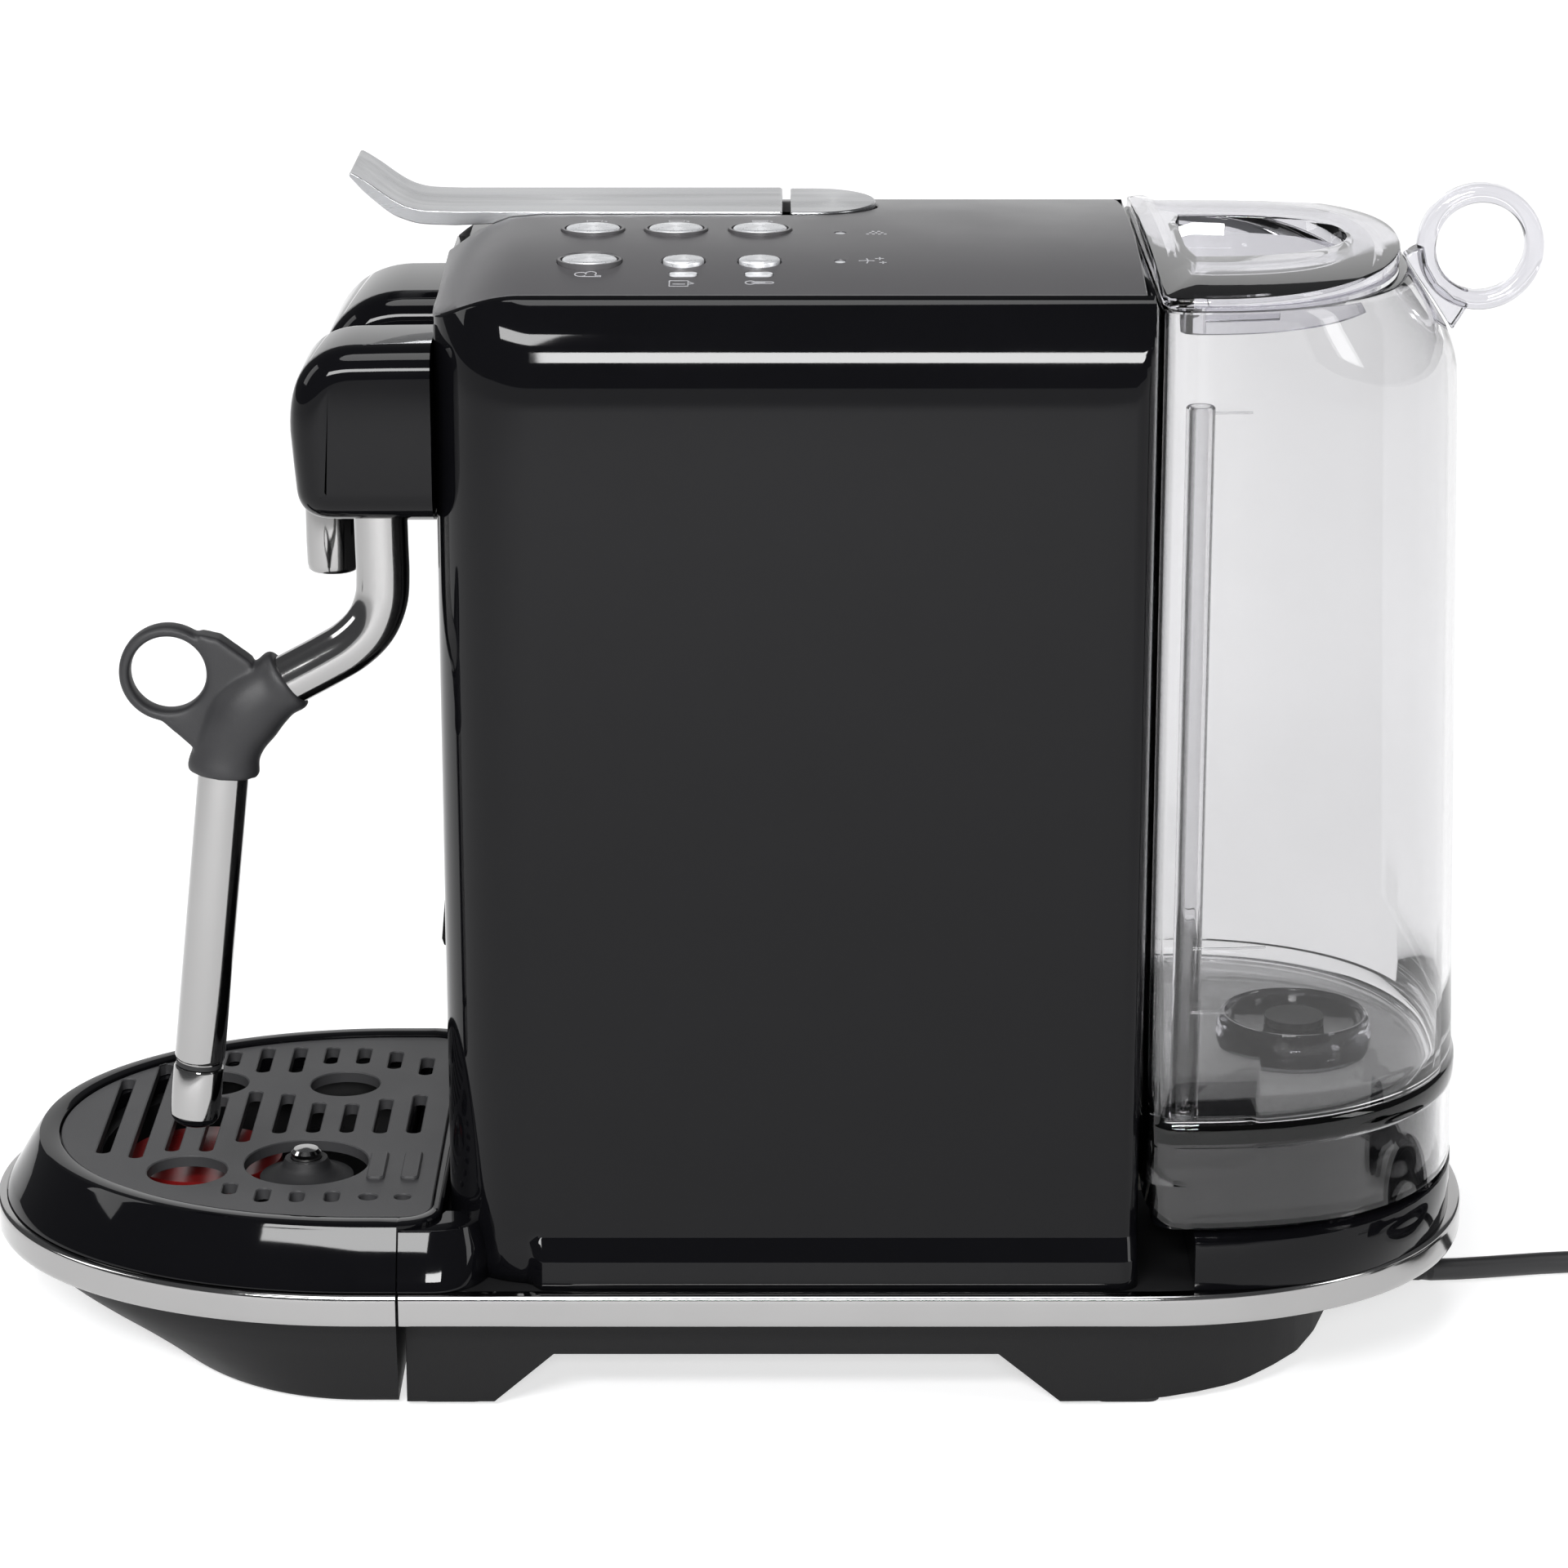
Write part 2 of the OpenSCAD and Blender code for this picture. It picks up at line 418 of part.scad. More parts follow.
module button(i) color("#d8dadc") translate([btn_pos[i][0], btn_pos[i][1], 0]) {
  z = crown(btn_pos[i][0]);
  rotate_extrude() polygon([[0, 281.3], [2.2, 281.3], [2.2, 287], [btn_rad[i], 287], [btn_rad[i], z + 0.3], [btn_rad[i] - 0.6, z + 0.8], [btn_rad[i] * 0.5, z + 1.2], [0, z + 1.35]]);
}
module pod_bin() color("#1b1b1d") difference() {
  union() {
    translate([bin_x0, -78, 62]) cube([bin_x1 - bin_x0, 70, 50]);
    along_x(pod_x - 14, pod_x + 14, [[-77, 94], [-83.2, 94.6], [-83.8, 96.5], [-82.6, 110], [-77, 111.5]]);
  }
  translate([bin_x0 + 1.8, -75.6, 64]) cube([bin_x1 - bin_x0 - 3.6, 65.8, 60]);
}
module tank_plan(o, z0, z1) slab(z0, z1, tank_pts(o));
function tank_pts(o) = let (w = 75.4 - o, y0 = 100.6 + o, ys = 112, d = 76 - o, e = 2.3, n = 28) concat([for (i = [0:n]) let (t = 180 * i / n) [w * sp(cos(t), e), ys + d * sp(sin(t), e)]], arc(-w + 8 - o, y0 + 8 - o, 8 - o, 180, 270, 4), arc(w - 8 + o, y0 + 8 - o, 8 - o, 270, 360, 4));
module tank() color([0.85, 0.87, 0.9, 0.4]) {
  difference() {
    union() {
      intersection() {
        tank_plan(0, 48, 287);
        along_x(-80, 80, [[90, 40], [188.4, 40], [187.6, 76], [182.4, 255], [181, 266], [176, 276], [168.4, 287], [90, 287]]);
      }
    }
    intersection() {
      tank_plan(tank_wall, 74, 290);
      along_x(-80, 80, [[90, 40], [188.4 - tank_wall, 40], [187.6 - tank_wall, 76], [182.4 - tank_wall, 254.5], [181 - tank_wall, 265], [176 - tank_wall, 274.3], [165.4, 287], [165.4, 300], [90, 300]]);
    }
    tank_plan(tank_wall, 40, 71);
    translate([valve_c[0], valve_c[1], 60]) cylinder(h = 20, r = 15.02);
  }
  difference() {
    union() {
      disc_x(-3.6, 3.6, 187.9, 289.4, ring_r + 2.4);
      along_x(-3.6, 3.6, [[167.2, 286.2], [170, 288.6], [174, 290.5], [180, 282], [186, 275], [183, 270.5], [180.6, 266.6], [176, 275.9]]);
    }
    disc_x(-8, 8, 187.9, 289.4, ring_r - 2.4);
  }
}
module tank_valve() color("#33343a") translate([valve_c[0], valve_c[1], 0]) difference() {
  union() {
    translate([0, 0, 74]) cylinder(h = 2.2, r = 20);
    translate([0, 0, 63.4]) cylinder(h = 11, r = 14.9);
  }
  translate([0, 0, 60]) cylinder(h = 30, r = 4.05);
  translate([0, 0, 66]) cylinder(h = 7, r = 11);
}
module valve_plunger() color("#b8352a") translate([valve_c[0], valve_c[1], 0]) {
  translate([0, 0, 62]) cylinder(h = 15, r = 4);
  translate([0, 0, 76.5]) cylinder(h = 2.2, r = 8);
}
function lid_pts(o) = let (w = 72.4 - o, n = 24) concat([for (i = [0:n]) let (t = 180 * i / n) [w * sp(cos(t), 2.2), 112 + (54.4 - o) * sp(sin(t), 2.2)]], [[-w, 101.6 + o], [w, 101.6 + o]]);
function dee(o) = concat([for (i = [0:20]) let (t = 9 * i) [(29 + o) * sp(cos(t), 2.3), 115 + (38 + o) * sp(sin(t), 2.3)]], [[-29 - o, 111 - o], [29 + o, 111 - o]]);
module tank_lid() color([0.85, 0.87, 0.9, 0.4]) difference() {
  union() {
    intersection() {
      slab(287.3, 293, lid_pts(0));
      translate([0, 90, 292.8 - 874]) rotate([-90, 0, 0]) cylinder(h = 100, r = 874, $fn = 720);
    }
    slab(276, 288, dee(2.2));
    slab(280, 288, lid_pts(4.4));
  }
  slab(270, 300, dee(0));
  difference() { slab(270, 287.3, lid_pts(6.6)); slab(260, 300, dee(2.2)); }
}
module power_cord() color("#1b1b1d") sweep(cord_pts, cord_d / 2, [0, 0, 1], 10);
module cord_coil() color("#1b1b1d") translate([coil_c[0], coil_c[1], 0]) rotate_extrude() translate([coil_r - 9, 0]) square([18, 12]);
module plug_body() color("#1b1b1d") translate([69, 315, 15]) rotate([0, 90, 0]) union() {
  cylinder(h = 26, r = 15);
  translate([0, 0, -40]) cylinder(h = 40.5, r1 = 3.4, r2 = 11);
}
module plug_pins() color("silver") for (s = [-1, 1]) translate([95, 315 + s * 9.5, 15]) rotate([0, 90, 0]) cylinder(h = 19, r = 2.4);

base_chassis();
base_plate();
rubber_feet();
base_screws();
body_band();
casing();
front_cover();
top_deck();
lever_channel();
lever_pin();
lever_rear_cap();
button_bezels();
indicator_windows();
rear_base_cover();
valve_socket();
steam_housing();
wand_pin();
brew_housing();
coffee_spout();
inner_frame();
water_pump();
coffee_boiler();
steam_boiler();
brew_chamber();
water_hose();
steam_pipe();
control_board();
cord_gland();
lever();
brew_piston();
tray_housing();
tray_band();
tray_skirt();
drip_pan();
sensor_boot();
sensor_cap();
drip_grate();
level_float();
wand_upper_tube();
wand_grip();
wand_lower_tube();
wand_tip_seal();
wand_nozzle();
button(0);  // button_cup_small
button(1);  // button_cup_medium
button(2);  // button_cup_large
button(3);  // button_steam
button(4);  // button_milk
button(5);  // button_heat
pod_bin();
tank();
tank_valve();
valve_plunger();
tank_lid();
power_cord();
cord_coil();
plug_body();
plug_pins();
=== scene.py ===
import math

import bmesh
import bpy
from mathutils import Matrix, Vector
from mathutils.geometry import delaunay_2d_cdt


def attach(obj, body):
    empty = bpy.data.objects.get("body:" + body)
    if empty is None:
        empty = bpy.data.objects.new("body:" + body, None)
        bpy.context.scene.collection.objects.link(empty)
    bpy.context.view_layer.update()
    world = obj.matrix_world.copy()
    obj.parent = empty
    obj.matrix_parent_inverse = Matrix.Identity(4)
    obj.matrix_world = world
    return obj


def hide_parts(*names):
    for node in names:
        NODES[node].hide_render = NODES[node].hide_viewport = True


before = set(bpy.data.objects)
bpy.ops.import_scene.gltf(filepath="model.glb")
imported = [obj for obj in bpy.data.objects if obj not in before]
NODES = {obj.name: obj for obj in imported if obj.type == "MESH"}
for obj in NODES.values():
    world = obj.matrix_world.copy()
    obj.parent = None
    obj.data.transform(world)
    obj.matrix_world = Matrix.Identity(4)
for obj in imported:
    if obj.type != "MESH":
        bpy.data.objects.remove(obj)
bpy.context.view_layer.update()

MM = 0.001
scene = bpy.context.scene

# ---------------------------------------------------------------- camera, lights, floor
cam_data = bpy.data.cameras.new("cam")
cam = bpy.data.objects.new("cam", cam_data)
scene.collection.objects.link(cam)
cam_data.sensor_width = 36.0
cam_data.lens = 113.83
cam.location = (1.260, 0.009, 0.526)
cam.rotation_euler = (math.radians(90 - 16.83), 0, math.radians(90))
scene.camera = cam


def area(name, loc, target, sx, sy, power, colour=(1, 1, 1)):
    d = bpy.data.lights.new(name, "AREA")
    d.shape = "RECTANGLE"
    d.size, d.size_y, d.energy, d.color = sx, sy, power, colour
    o = bpy.data.objects.new(name, d)
    o.location = loc
    o.rotation_euler = (Vector(target) - Vector(loc)).to_track_quat("-Z", "Y").to_euler()
    scene.collection.objects.link(o)
    return o


area("strip_key", (1.62, 0.070, 0.72), (0.07, 0.070, 0.275), 0.46, 0.20, 15)
area("soft_left", (1.20, -0.46, 0.98), (0.07, -0.10, 0.05), 0.70, 0.24, 17)
area("backdrop", (-2.75, 0.0, 0.78), (0.0, 0.0, 0.70), 3.4, 1.25, 12)
area("soft_front", (0.0, -1.5, 1.0), (0, -0.1, 0.15), 0.5, 0.8, 5)
area("soft_rear", (0.6, 1.6, 0.8), (0, 0.1, 0.15), 0.4, 0.9, 6)
sun_data = bpy.data.lights.new("soft_top", "SUN")
sun_data.energy, sun_data.angle = 1.3, math.radians(28)
sun = bpy.data.objects.new("soft_top", sun_data)
sun.rotation_euler = (math.radians(4), math.radians(9), 0)
scene.collection.objects.link(sun)

world = bpy.data.worlds.new("studio")
scene.world = world
world.use_nodes = True
world.node_tree.nodes["Background"].inputs[0].default_value = (0.95, 0.965, 1.0, 1)
world.node_tree.nodes["Background"].inputs[1].default_value = 0.13
scene.view_settings.view_transform = "Standard"


# ---------------------------------------------------------------- materials
def node(nt, kind, **inputs):
    n = nt.nodes.new(kind)
    for k, v in inputs.items():
        n.inputs[k.replace("_", " ")].default_value = v
    return n


def mat(name, base, rough, metal=0.0, var=0.08, rvar=0.04, cscale=35.0, grain=1400.0, bump=0.12, bdist=0.00008,
        coat=0.0, ior=1.5, trans=0.0, stretch=(1, 1, 1), aniso=0.0, radial=False, sheen=0.0, detail=3.0):
    m = bpy.data.materials.new(name)
    m.use_nodes = True
    nt = m.node_tree
    p = nt.nodes["Principled BSDF"]
    p.inputs["Metallic"].default_value = metal
    p.inputs["IOR"].default_value = ior
    p.inputs["Coat Weight"].default_value = coat
    p.inputs["Coat Roughness"].default_value = 0.03
    p.inputs["Transmission Weight"].default_value = trans
    p.inputs["Anisotropic"].default_value = aniso
    p.inputs["Sheen Weight"].default_value = sheen
    tc = nt.nodes.new("ShaderNodeTexCoord")
    mp = nt.nodes.new("ShaderNodeMapping")
    mp.inputs["Scale"].default_value = stretch
    nt.links.new(tc.outputs["Object"], mp.inputs["Vector"])
    big = node(nt, "ShaderNodeTexNoise", Scale=cscale, Detail=4.0, Roughness=0.55)
    nt.links.new(mp.outputs[0], big.inputs["Vector"])
    ramp = nt.nodes.new("ShaderNodeValToRGB")
    lo = [max(0.0, c * (1 - var)) for c in base]
    hi = [min(1.0, c * (1 + var)) for c in base]
    ramp.color_ramp.elements[0].position = 0.3
    ramp.color_ramp.elements[1].position = 0.7
    ramp.color_ramp.elements[0].color = (*lo, 1)
    ramp.color_ramp.elements[1].color = (*hi, 1)
    nt.links.new(big.outputs["Fac"], ramp.inputs[0])
    nt.links.new(ramp.outputs[0], p.inputs["Base Color"])
    rr_ = node(nt, "ShaderNodeMapRange", From_Min=0.3, From_Max=0.7, To_Min=max(0.0, rough - rvar), To_Max=rough + rvar)
    nt.links.new(big.outputs["Fac"], rr_.inputs["Value"])
    nt.links.new(rr_.outputs[0], p.inputs["Roughness"])
    if radial:
        fine = nt.nodes.new("ShaderNodeTexWave")
        fine.wave_type, fine.rings_direction = "RINGS", "Z"
        fine.inputs["Scale"].default_value = grain
        fine.inputs["Distortion"].default_value = 0.6
        nt.links.new(tc.outputs["Object"], fine.inputs["Vector"])
        tg = nt.nodes.new("ShaderNodeTangent")
        tg.direction_type, tg.axis = "RADIAL", "Z"
        nt.links.new(tg.outputs[0], p.inputs["Tangent"])
    else:
        fine = node(nt, "ShaderNodeTexNoise", Scale=grain, Detail=detail, Roughness=0.6)
        nt.links.new(mp.outputs[0], fine.inputs["Vector"])
    b = node(nt, "ShaderNodeBump", Strength=bump, Distance=bdist)
    nt.links.new(fine.outputs["Fac"], b.inputs["Height"])
    nt.links.new(b.outputs[0], p.inputs["Normal"])
    return m


M = {
    "gloss_black": mat("m_gloss_black", (0.0024, 0.0024, 0.003), 0.04, rvar=0.012, ior=1.265, bump=0.02, grain=500, bdist=0.00003),
    "matte_black": mat("m_matte_black", (0.0048, 0.0048, 0.0052), 0.5, ior=1.28, bump=0.35, grain=2400, bdist=0.00012),
    "deck_grey": mat("m_deck_grey", (0.088, 0.086, 0.090), 0.34, metal=0.2, ior=1.38, var=0.06, cscale=20, grain=5200, bump=0.22, bdist=0.00005),
    "grate_grey": mat("m_grate_grey", (0.038, 0.038, 0.040), 0.46, ior=1.42, bump=0.4, grain=2600, bdist=0.00012),
    "rim_grey": mat("m_rim_grey", (0.012, 0.012, 0.013), 0.12, bump=0.03, grain=800),
    "chrome": mat("m_chrome", (0.345, 0.342, 0.34), 0.11, metal=1.0, var=0.03, rvar=0.025, cscale=25, bump=0.03, grain=350, bdist=0.00003),
    "satin": mat("m_satin_lever", (0.37, 0.375, 0.385), 0.24, metal=1.0, var=0.05, rvar=0.05, cscale=160, grain=2600, bump=0.2, bdist=0.00005, stretch=(1, 0.05, 1), aniso=0.4),
    "steel": mat("m_steel", (0.55, 0.55, 0.55), 0.25, metal=1.0, grain=1500, bump=0.15, stretch=(0.1, 1, 1)),
    "button": mat("m_button", (0.74, 0.75, 0.77), 0.30, metal=0.62, var=0.05, cscale=900, grain=520, bump=0.18, bdist=0.00005, aniso=0.75, radial=True),
    "clear_edge": mat("m_clear_edge", (0.74, 0.735, 0.77), 0.02, var=0.01, rvar=0.01, ior=1.40, trans=1.0, bump=0.012, grain=120, bdist=0.00003),
    "clear": mat("m_clear", (0.826, 0.824, 0.831), 0.015, var=0.008, rvar=0.01, ior=1.40, trans=1.0, bump=0.012, grain=120, bdist=0.00003),
    "rubber": mat("m_rubber", (0.009, 0.009, 0.010), 0.6, ior=1.42, bump=0.4, grain=3000, bdist=0.0001),
    "cord": mat("m_cord", (0.013, 0.013, 0.014), 0.46, bump=0.3, grain=900, bdist=0.00012),
    "silicone": mat("m_silicone", (0.0165, 0.0165, 0.018), 0.5, ior=1.42, bump=0.35, grain=2600, bdist=0.0001),
    "red": mat("m_red", (0.15, 0.006, 0.006), 0.3, bump=0.15, grain=1300),
    "valve": mat("m_valve", (0.012, 0.012, 0.014), 0.2, bump=0.25, grain=1700),
    "pump": mat("m_pump", (0.55, 0.55, 0.52), 0.42, bump=0.3, grain=1500),
    "boiler": mat("m_boiler", (0.5, 0.51, 0.53), 0.42, metal=1.0, bump=0.6, grain=700, bdist=0.0002),
    "board": mat("m_board", (0.02, 0.11, 0.045), 0.4, bump=0.2, grain=900),
    "hose": mat("m_hose", (0.66, 0.63, 0.56), 0.4, bump=0.15, grain=900),
    "window": mat("m_window", (0.58, 0.59, 0.61), 0.3, bump=0.1, grain=900),
    "mark": mat("m_mark", (0.42, 0.42, 0.44), 0.45, bump=0.1, grain=3000),
}

floor_me = bpy.data.meshes.new("floor")
floor_me.from_pydata([(-9, -9, 0), (9, -9, 0), (9, 9, 0), (-9, 9, 0)], [], [(0, 1, 2, 3)])
floor = bpy.data.objects.new("floor", floor_me)
m_floor = mat("m_floor", (0.55, 0.55, 0.555), 0.8, var=0.008, cscale=3, grain=300, bump=0.02)
m_floor.node_tree.nodes["Principled BSDF"].inputs["Emission Color"].default_value = (1.0, 1.0, 1.0, 1)
m_floor.node_tree.nodes["Principled BSDF"].inputs["Emission Strength"].default_value = 0.62
floor.data.materials.append(m_floor)
scene.collection.objects.link(floor)


# ---------------------------------------------------------------- mesh helpers (all in mm)
def finish_mesh(name, verts, faces, key, body, replaces=(), angle=38, origin=(0, 0, 0), bevel=0.0, segs=2):
    me = bpy.data.meshes.new(name)
    me.from_pydata([((v[0] - origin[0]) * MM, (v[1] - origin[1]) * MM, (v[2] - origin[2]) * MM) for v in verts], [], faces)
    bm = bmesh.new()
    bm.from_mesh(me)
    bmesh.ops.remove_doubles(bm, verts=bm.verts, dist=2e-6)
    bmesh.ops.dissolve_degenerate(bm, edges=bm.edges, dist=1e-6)
    bmesh.ops.recalc_face_normals(bm, faces=bm.faces)
    for f in bm.faces:
        f.smooth = True
    for e in bm.edges:
        if len(e.link_faces) == 2 and e.calc_face_angle(0) > math.radians(angle):
            e.smooth = False
    bm.to_mesh(me)
    bm.free()
    me.materials.append(M[key])
    o = bpy.data.objects.new(name, me)
    scene.collection.objects.link(o)
    o.location = [c * MM for c in origin]
    if bevel:
        b = o.modifiers.new("edge", "BEVEL")
        b.width, b.segments, b.limit_method, b.angle_limit = bevel * MM, segs, "ANGLE", math.radians(angle)
        b.harden_normals = True
    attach(o, body)
    if replaces:
        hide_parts(*replaces)
    return o


def grid(rings, loop=True, close=False, cap0=False, cap1=False):
    n, verts, faces = len(rings[0]), [p for r in rings for p in r], []
    m = len(rings)
    for i in range(m if close else m - 1):
        j = (i + 1) % m
        for k in range(n if loop else n - 1):
            l = (k + 1) % n
            faces.append((i * n + k, i * n + l, j * n + l, j * n + k))
    if cap0:
        faces.append(tuple(range(n)))
    if cap1:
        faces.append(tuple((m - 1) * n + k for k in range(n)))
    return verts, faces


def join(*parts):
    verts, faces = [], []
    for v, f in parts:
        b = len(verts)
        verts += list(v)
        faces += [tuple(i + b for i in q) for q in f]
    return verts, faces


def sp(v, e):
    return math.copysign(abs(v) ** (2 / e), v)


def nose(w, y0, d, y1, e=2.05, n=120):
    return [(w * sp(math.cos(math.pi * i / n), e), y0 - d * sp(math.sin(math.pi * i / n), e)) for i in range(n + 1)] + [(-w, y1), (w, y1)]


def tail(w, y0, y1, d, e=2.15, n=120):
    return [(w * sp(math.cos(math.pi * i / n), e), y1 + d * sp(math.sin(math.pi * i / n), e)) for i in range(n + 1)] + [(-w, y0), (w, y0)]


def arc(cx, cy, r, a0, a1, n=8):
    return [(cx + r * math.cos(math.radians(a0 + (a1 - a0) * i / n)), cy + r * math.sin(math.radians(a0 + (a1 - a0) * i / n))) for i in range(n + 1)]


def rrect(x0, y0, x1, y1, ra, rb=None, n=8):
    rb = ra if rb is None else rb
    return arc(x0 + ra, y0 + ra, ra, 180, 270, n) + arc(x1 - ra, y0 + ra, ra, 270, 360, n) + arc(x1 - rb, y1 - rb, rb, 0, 90, n) + arc(x0 + rb, y1 - rb, rb, 90, 180, n)


def bez(a, b, c, n=8):
    out = []
    for i in range(n + 1):
        t = i / n
        out.append(tuple(a[k] * (1 - t) ** 2 + b[k] * 2 * t * (1 - t) + c[k] * t * t for k in range(2)))
    return out


def lathe(profile, n=72, centre=(0, 0, 0), matrix=None):
    rings = [[(r * math.cos(2 * math.pi * k / n), r * math.sin(2 * math.pi * k / n), z) for k in range(n)] for r, z in profile]
    v, f = grid(rings)
    if matrix is not None:
        v = [tuple(matrix @ Vector(p)) for p in v]
    return [(p[0] + centre[0], p[1] + centre[1], p[2] + centre[2]) for p in v], f


def catmull(pts, per=8):
    out = []
    for i in range(len(pts) - 1):
        p0 = Vector(pts[max(i - 1, 0)]); p1 = Vector(pts[i]); p2 = Vector(pts[i + 1]); p3 = Vector(pts[min(i + 2, len(pts) - 1)])
        for s in range(per):
            t = s / per
            out.append(tuple(0.5 * ((2 * p1) + (p2 - p0) * t + (2 * p0 - 5 * p1 + 4 * p2 - p3) * t * t + (3 * p1 - p0 - 3 * p2 + p3) * t ** 3)))
    out.append(tuple(pts[-1]))
    return out


def tube(path, radii, n=28, caps=True):
    path = [Vector(p) for p in path]
    if not hasattr(radii, "__len__"):
        radii = [radii] * len(path)
    t0 = (path[1] - path[0]).normalized()
    a = t0.cross(Vector((1, 0, 0)))
    if a.length < 0.1:
        a = t0.cross(Vector((0, 0, 1)))
    a.normalize()
    rings = []
    for i, p in enumerate(path):
        t = (path[min(i + 1, len(path) - 1)] - path[max(i - 1, 0)]).normalized()
        a = (a - t * a.dot(t)).normalized()
        b = t.cross(a)
        rings.append([tuple(p + radii[i] * (a * math.cos(2 * math.pi * k / n) + b * math.sin(2 * math.pi * k / n))) for k in range(n)])
    return grid(rings, cap0=caps, cap1=caps)


def along_x(x0, x1, pts):
    return grid([[(x, y, z) for y, z in pts] for x in (x0, x1)], cap0=True, cap1=True)


def inside(p, poly):
    c, j = False, len(poly) - 1
    for i in range(len(poly)):
        if (poly[i][1] > p[1]) != (poly[j][1] > p[1]) and p[0] < (poly[j][0] - poly[i][0]) * (p[1] - poly[i][1]) / (poly[j][1] - poly[i][1]) + poly[i][0]:
            c = not c
        j = i
    return c


def plate(outer, holes, ztop, thick, c, step):
    """A plate with a chamfered edge round its outline and round each hole. outer and holes take an offset and give a loop."""
    loops = [outer(-c)] + [h(c) for h in holes]
    pts, edges = [], []
    for lp in loops:
        b = len(pts)
        pts += [Vector(p) for p in lp]
        edges += [(b + i, b + (i + 1) % len(lp)) for i in range(len(lp))]
    xs = [p[0] for p in loops[0]]; ys = [p[1] for p in loops[0]]
    fixed = list(pts)
    x = min(xs) + step / 2
    while x < max(xs):
        y = min(ys) + step / 2
        while y < max(ys):
            if inside((x, y), loops[0]) and not any(inside((x, y), lp) for lp in loops[1:]) and min((q[0] - x) ** 2 + (q[1] - y) ** 2 for q in fixed) > (0.45 * step) ** 2:
                pts.append(Vector((x, y)))
            y += step
        x += step
    vo, _, fo, ov, _, _ = delaunay_2d_cdt(pts, edges, [], 0, 1e-6)
    where = {i: k for k, src in enumerate(ov) for i in src}
    verts = [(v[0], v[1], ztop(v[0], v[1])) for v in vo]
    faces = []
    for f in fo:
        cx = sum(vo[i][0] for i in f) / len(f); cy = sum(vo[i][1] for i in f) / len(f)
        if inside((cx, cy), loops[0]) and not any(inside((cx, cy), lp) for lp in loops[1:]):
            faces.append(tuple(f))
    top_faces = list(faces)
    nb = len(verts)
    verts += [(v[0], v[1], ztop(v[0], v[1]) - thick) for v in vo]
    faces += [tuple(i + nb for i in reversed(f)) for f in top_faces]
    b = 0
    for lp, fn in zip(loops, [outer] + list(holes)):
        edge = fn(0)
        n, e0 = len(lp), len(verts)
        verts += [(p[0], p[1], ztop(*p) - c) for p in edge] + [(p[0], p[1], ztop(*p) - thick + 0.05) for p in edge]
        for i in range(n):
            j = (i + 1) % n
            ti, tj = where[b + i], where[b + j]
            faces += [(ti, tj, e0 + j, e0 + i), (e0 + i, e0 + j, e0 + n + j, e0 + n + i), (e0 + n + i, e0 + n + j, tj + nb, ti + nb)]
        b += n
    return verts, faces


def circle(x, y, r, n=56):
    return lambda o=0: [(x + (r + o) * math.cos(2 * math.pi * i / n), y + (r + o) * math.sin(2 * math.pi * i / n)) for i in range(n)]


def rbox(x0, y0, x1, y1, r, n=8):
    return lambda o=0: rrect(x0 - o, y0 - o, x1 + o, y1 + o, max(r + o, 0.05), n=n)


# ---------------------------------------------------------------- cord first
route = [(-6, 176, 5.5), (-6.5, 181, 4), (-7.2, 187, 3.1), (-8, 194, 3), (-9.2, 202, 3), (-10.6, 210, 3), (-12, 218, 3), (-13, 226, 3),
         (-13.4, 234, 3), (-13.2, 243, 3), (-13, 252, 3), (-13, 258, 3), (-13, 264, 3), (-13, 270, 3)]
CX, CY = 20.0, 276.0


def smooth(t):
    t = max(0.0, min(1.0, t))
    return t * t * (3 - 2 * t)


# a turn inward on the lower layer, a climb, then two turns outward on the upper layer
STEP = math.radians(10)
a, turned = math.pi, 0.0
END = 2 * math.pi * 3.5
while turned <= END - 2 * math.pi * 0.25 + 1e-6:
    t = turned / (2 * math.pi)
    if t <= 1.0:
        r, z = 33 - 6 * t, 3.0
    elif t <= 1.25:
        r, z = 27.0, 3 + 6 * smooth((t - 1.0) / 0.25)
    else:
        r, z = 27 + 6 * (t - 1.25), 9.0
    route.append((CX + r * math.cos(a - turned), CY + r * math.sin(a - turned), z))
    turned += STEP
cord_curve = bpy.data.curves.new("mains_cord", "CURVE")
cord_curve.dimensions = "3D"
cord_curve.bevel_depth = 3 * MM
cord_curve.bevel_resolution = 6
cord_curve.use_fill_caps = True
tail_pts = [(CX + 6, 315.2, 9.6), (CX + 12, 315.1, 11.4), (CX + 18, 315, 13.2), (CX + 24, 315, 14.6), (CX + 30, 315, 15)]
last = route[-1]
route += [p for p in tail_pts if p[0] > last[0] + 3]
spl = cord_curve.splines.new("POLY")
spl.points.add(len(route) - 1)
for i, p in enumerate(route):
    spl.points[i].co = (p[0] * MM, p[1] * MM, p[2] * MM, 1)
cord_curve.materials.append(M["cord"])
cord = bpy.data.objects.new("mains_cord", cord_curve)
scene.collection.objects.link(cord)
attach(cord, "root")
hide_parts("power_cord", "cord_coil")
CORD_LEN = sum((Vector(route[i + 1]) - Vector(route[i])).length for i in range(len(route) - 1)) * MM
print("cord length", round(CORD_LEN, 4))

PLUG = Matrix.Rotation(math.radians(90), 4, "Y")
v, f = lathe([(0, -25), (3.7, -25), (4.2, -24), (4.6, -18), (5.2, -12), (6.2, -6), (8, -1), (10.5, 2), (13.4, 5), (14.6, 9), (14.8, 14),
              (14.2, 17), (14.8, 20), (14.9, 24), (14.3, 25.6), (13, 26), (0, 26)], centre=(69, 315, 15), matrix=PLUG)
plug = finish_mesh("plug_moulding", v, f, "rubber", "root", ("plug_body",))

